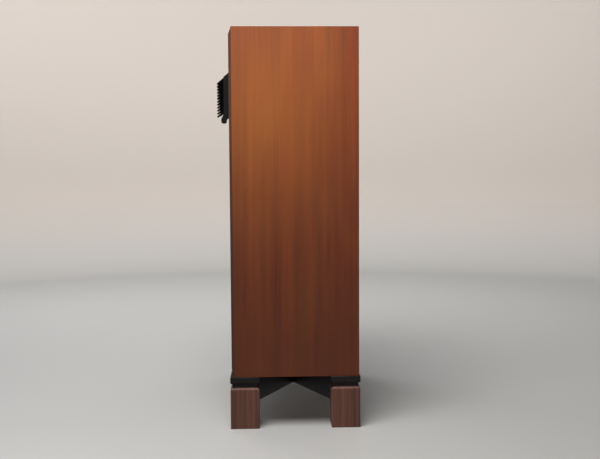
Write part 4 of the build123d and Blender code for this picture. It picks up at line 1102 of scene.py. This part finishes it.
class MONITOR_OT_studio(MonitorOperator, bpy.types.Operator):
    """Pale floor and cove, soft lights and the camera"""

    bl_idname = "monitor.studio"
    bl_label = "Studio"

    def cove(self, radius):
        """A round floor that curves up into a wall all round."""
        bend, wall, floor_rings, bend_rings, segments = 1.0, 4.6, 10, 12, 96
        outline = [(radius * k / floor_rings, 0.0) for k in range(floor_rings + 1)]
        for k in range(1, bend_rings + 1):
            turn = math.pi / 2 * k / bend_rings
            outline.append((radius + bend * math.sin(turn), bend - bend * math.cos(turn)))
        outline.append((radius + bend, wall))
        body = bmesh.new()
        rings = []
        for k in range(segments):
            turn = 2 * math.pi * k / segments
            rings.append([body.verts.new((r * math.cos(turn), r * math.sin(turn), z)) for r, z in outline])
        for k, ring in enumerate(rings):
            after = rings[(k + 1) % segments]
            for j in range(len(outline) - 1):
                body.faces.new((ring[j], ring[j + 1], after[j + 1], after[j]))
        bmesh.ops.remove_doubles(body, verts=body.verts, dist=0.01 * MM)
        piece = place("studio_cove", to_mesh("studio_cove", body), material(studio_plaster), 60.0)
        piece.visible_glossy = False

    def soft_light(self, name, where, towards, size, power, warmth):
        """An area light aimed at a point."""
        lamp = bpy.data.lights.new(name, "AREA")
        lamp.shape = "RECTANGLE"
        lamp.size, lamp.size_y = size
        lamp.energy = power
        lamp.color = linear(warmth)[:3]
        carrier = bpy.data.objects.new(name, lamp)
        bpy.context.scene.collection.objects.link(carrier)
        carrier.location = where
        carrier.rotation_euler = (Vector(towards) - Vector(where)).to_track_quat("-Z", "Y").to_euler()
        carrier.visible_camera = False

    def camera(self, focal_length):
        """A camera out from the right side, low over the floor and tilted slightly down."""
        low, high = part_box("side_panel_right")
        distance, forward, eye_height = 2.664, 0.0665, 0.872
        eye = Vector((high.x + distance, (low.y + high.y) / 2 - forward, eye_height))
        yaw, dip, roll = math.radians(1.84), math.radians(3.52), math.radians(-0.34)
        ahead = Vector((-math.cos(yaw) * math.cos(dip), math.sin(yaw) * math.cos(dip), -math.sin(dip)))
        right = Vector((math.sin(yaw), math.cos(yaw), 0.0))
        up = right.cross(ahead)
        tilted_right = right * math.cos(roll) + up * math.sin(roll)
        tilted_up = up * math.cos(roll) - right * math.sin(roll)
        data = bpy.data.cameras.new("studio_camera")
        data.lens = focal_length
        data.sensor_width = 36.0
        made = bpy.data.objects.new("studio_camera", data)
        bpy.context.scene.collection.objects.link(made)
        turn = Matrix((tilted_right, tilted_up, -ahead)).transposed()
        made.matrix_world = Matrix.Translation(eye) @ turn.to_4x4()
        bpy.context.scene.camera = made

    def execute(self, context):
        studio = context.scene.monitor_studio
        self.cove(studio.floor_radius)
        side, middle, wall = (0.38, -0.1, 0.9), (0.0, 0.0, 0.9), (-5.4, -0.6, 1.6)
        for name, where, towards, size, warmth in (
            ("key", (1.3, -0.5, 3.0), side, (1.5, 1.5), "#FFFBF8"),
            ("side", (3.2, -0.7, 1.7), middle, (1.0, 1.0), "#FFF3E6"),
            ("front", (-2.4, -2.2, 3.0), middle, (1.8, 1.8), "#F4F7FF"),
            ("wall", (-1.6, -0.6, 3.6), wall, (6.0, 1.0), "#FFFAF7"),
        ):
            power = getattr(studio, f"{name}_power")
            self.soft_light(f"{name}_light", where, towards, size, power, warmth)
        world = context.scene.world or bpy.data.worlds.new("studio_world")
        context.scene.world = world
        world.use_nodes = True
        backdrop = world.node_tree.nodes["Background"]
        backdrop.inputs["Color"].default_value = linear("#F2F3F5")
        backdrop.inputs["Strength"].default_value = studio.sky_strength
        context.scene.view_settings.view_transform = "Standard"
        self.camera(studio.focal_length)
        return {"FINISHED"}


STEPS = (
    MONITOR_OT_cabinet, MONITOR_OT_back_screws, MONITOR_OT_cone_drivers, MONITOR_OT_horn_and_lens,
    MONITOR_OT_front_screws, MONITOR_OT_level_controls, MONITOR_OT_terminals, MONITOR_OT_crossover,
    MONITOR_OT_damping_pads, MONITOR_OT_stand, MONITOR_OT_studio,
)


class MONITOR_PT_panel(bpy.types.Panel):
    """Settings and steps of the studio monitor"""

    bl_label = "Studio monitor"
    bl_idname = "MONITOR_PT_panel"
    bl_space_type = "VIEW_3D"
    bl_region_type = "UI"
    bl_category = "Monitor"

    def draw(self, context):
        layout, scene = self.layout, context.scene
        for group in (scene.monitor_finish, scene.monitor_sizes, scene.monitor_studio):
            section = layout.box()
            for setting in group.bl_rna.properties.keys():
                if setting not in ("rna_type", "name"):
                    section.prop(group, setting)
        for step in STEPS:
            layout.operator(step.bl_idname)


CLASSES = (MonitorFinish, MonitorSizes, MonitorStudio, *STEPS, MONITOR_PT_panel)


def register():
    for kind in CLASSES:
        bpy.utils.register_class(kind)
    bpy.types.Scene.monitor_finish = PointerProperty(type=MonitorFinish)
    bpy.types.Scene.monitor_sizes = PointerProperty(type=MonitorSizes)
    bpy.types.Scene.monitor_studio = PointerProperty(type=MonitorStudio)


def unregister():
    del bpy.types.Scene.monitor_studio
    del bpy.types.Scene.monitor_sizes
    del bpy.types.Scene.monitor_finish
    for kind in reversed(CLASSES):
        bpy.utils.unregister_class(kind)


def main():
    """Registers the add-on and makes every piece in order."""
    register()
    for step in STEPS:
        category, name = step.bl_idname.split(".")
        getattr(getattr(bpy.ops, category), name)()


if __name__ == "__main__":
    main()
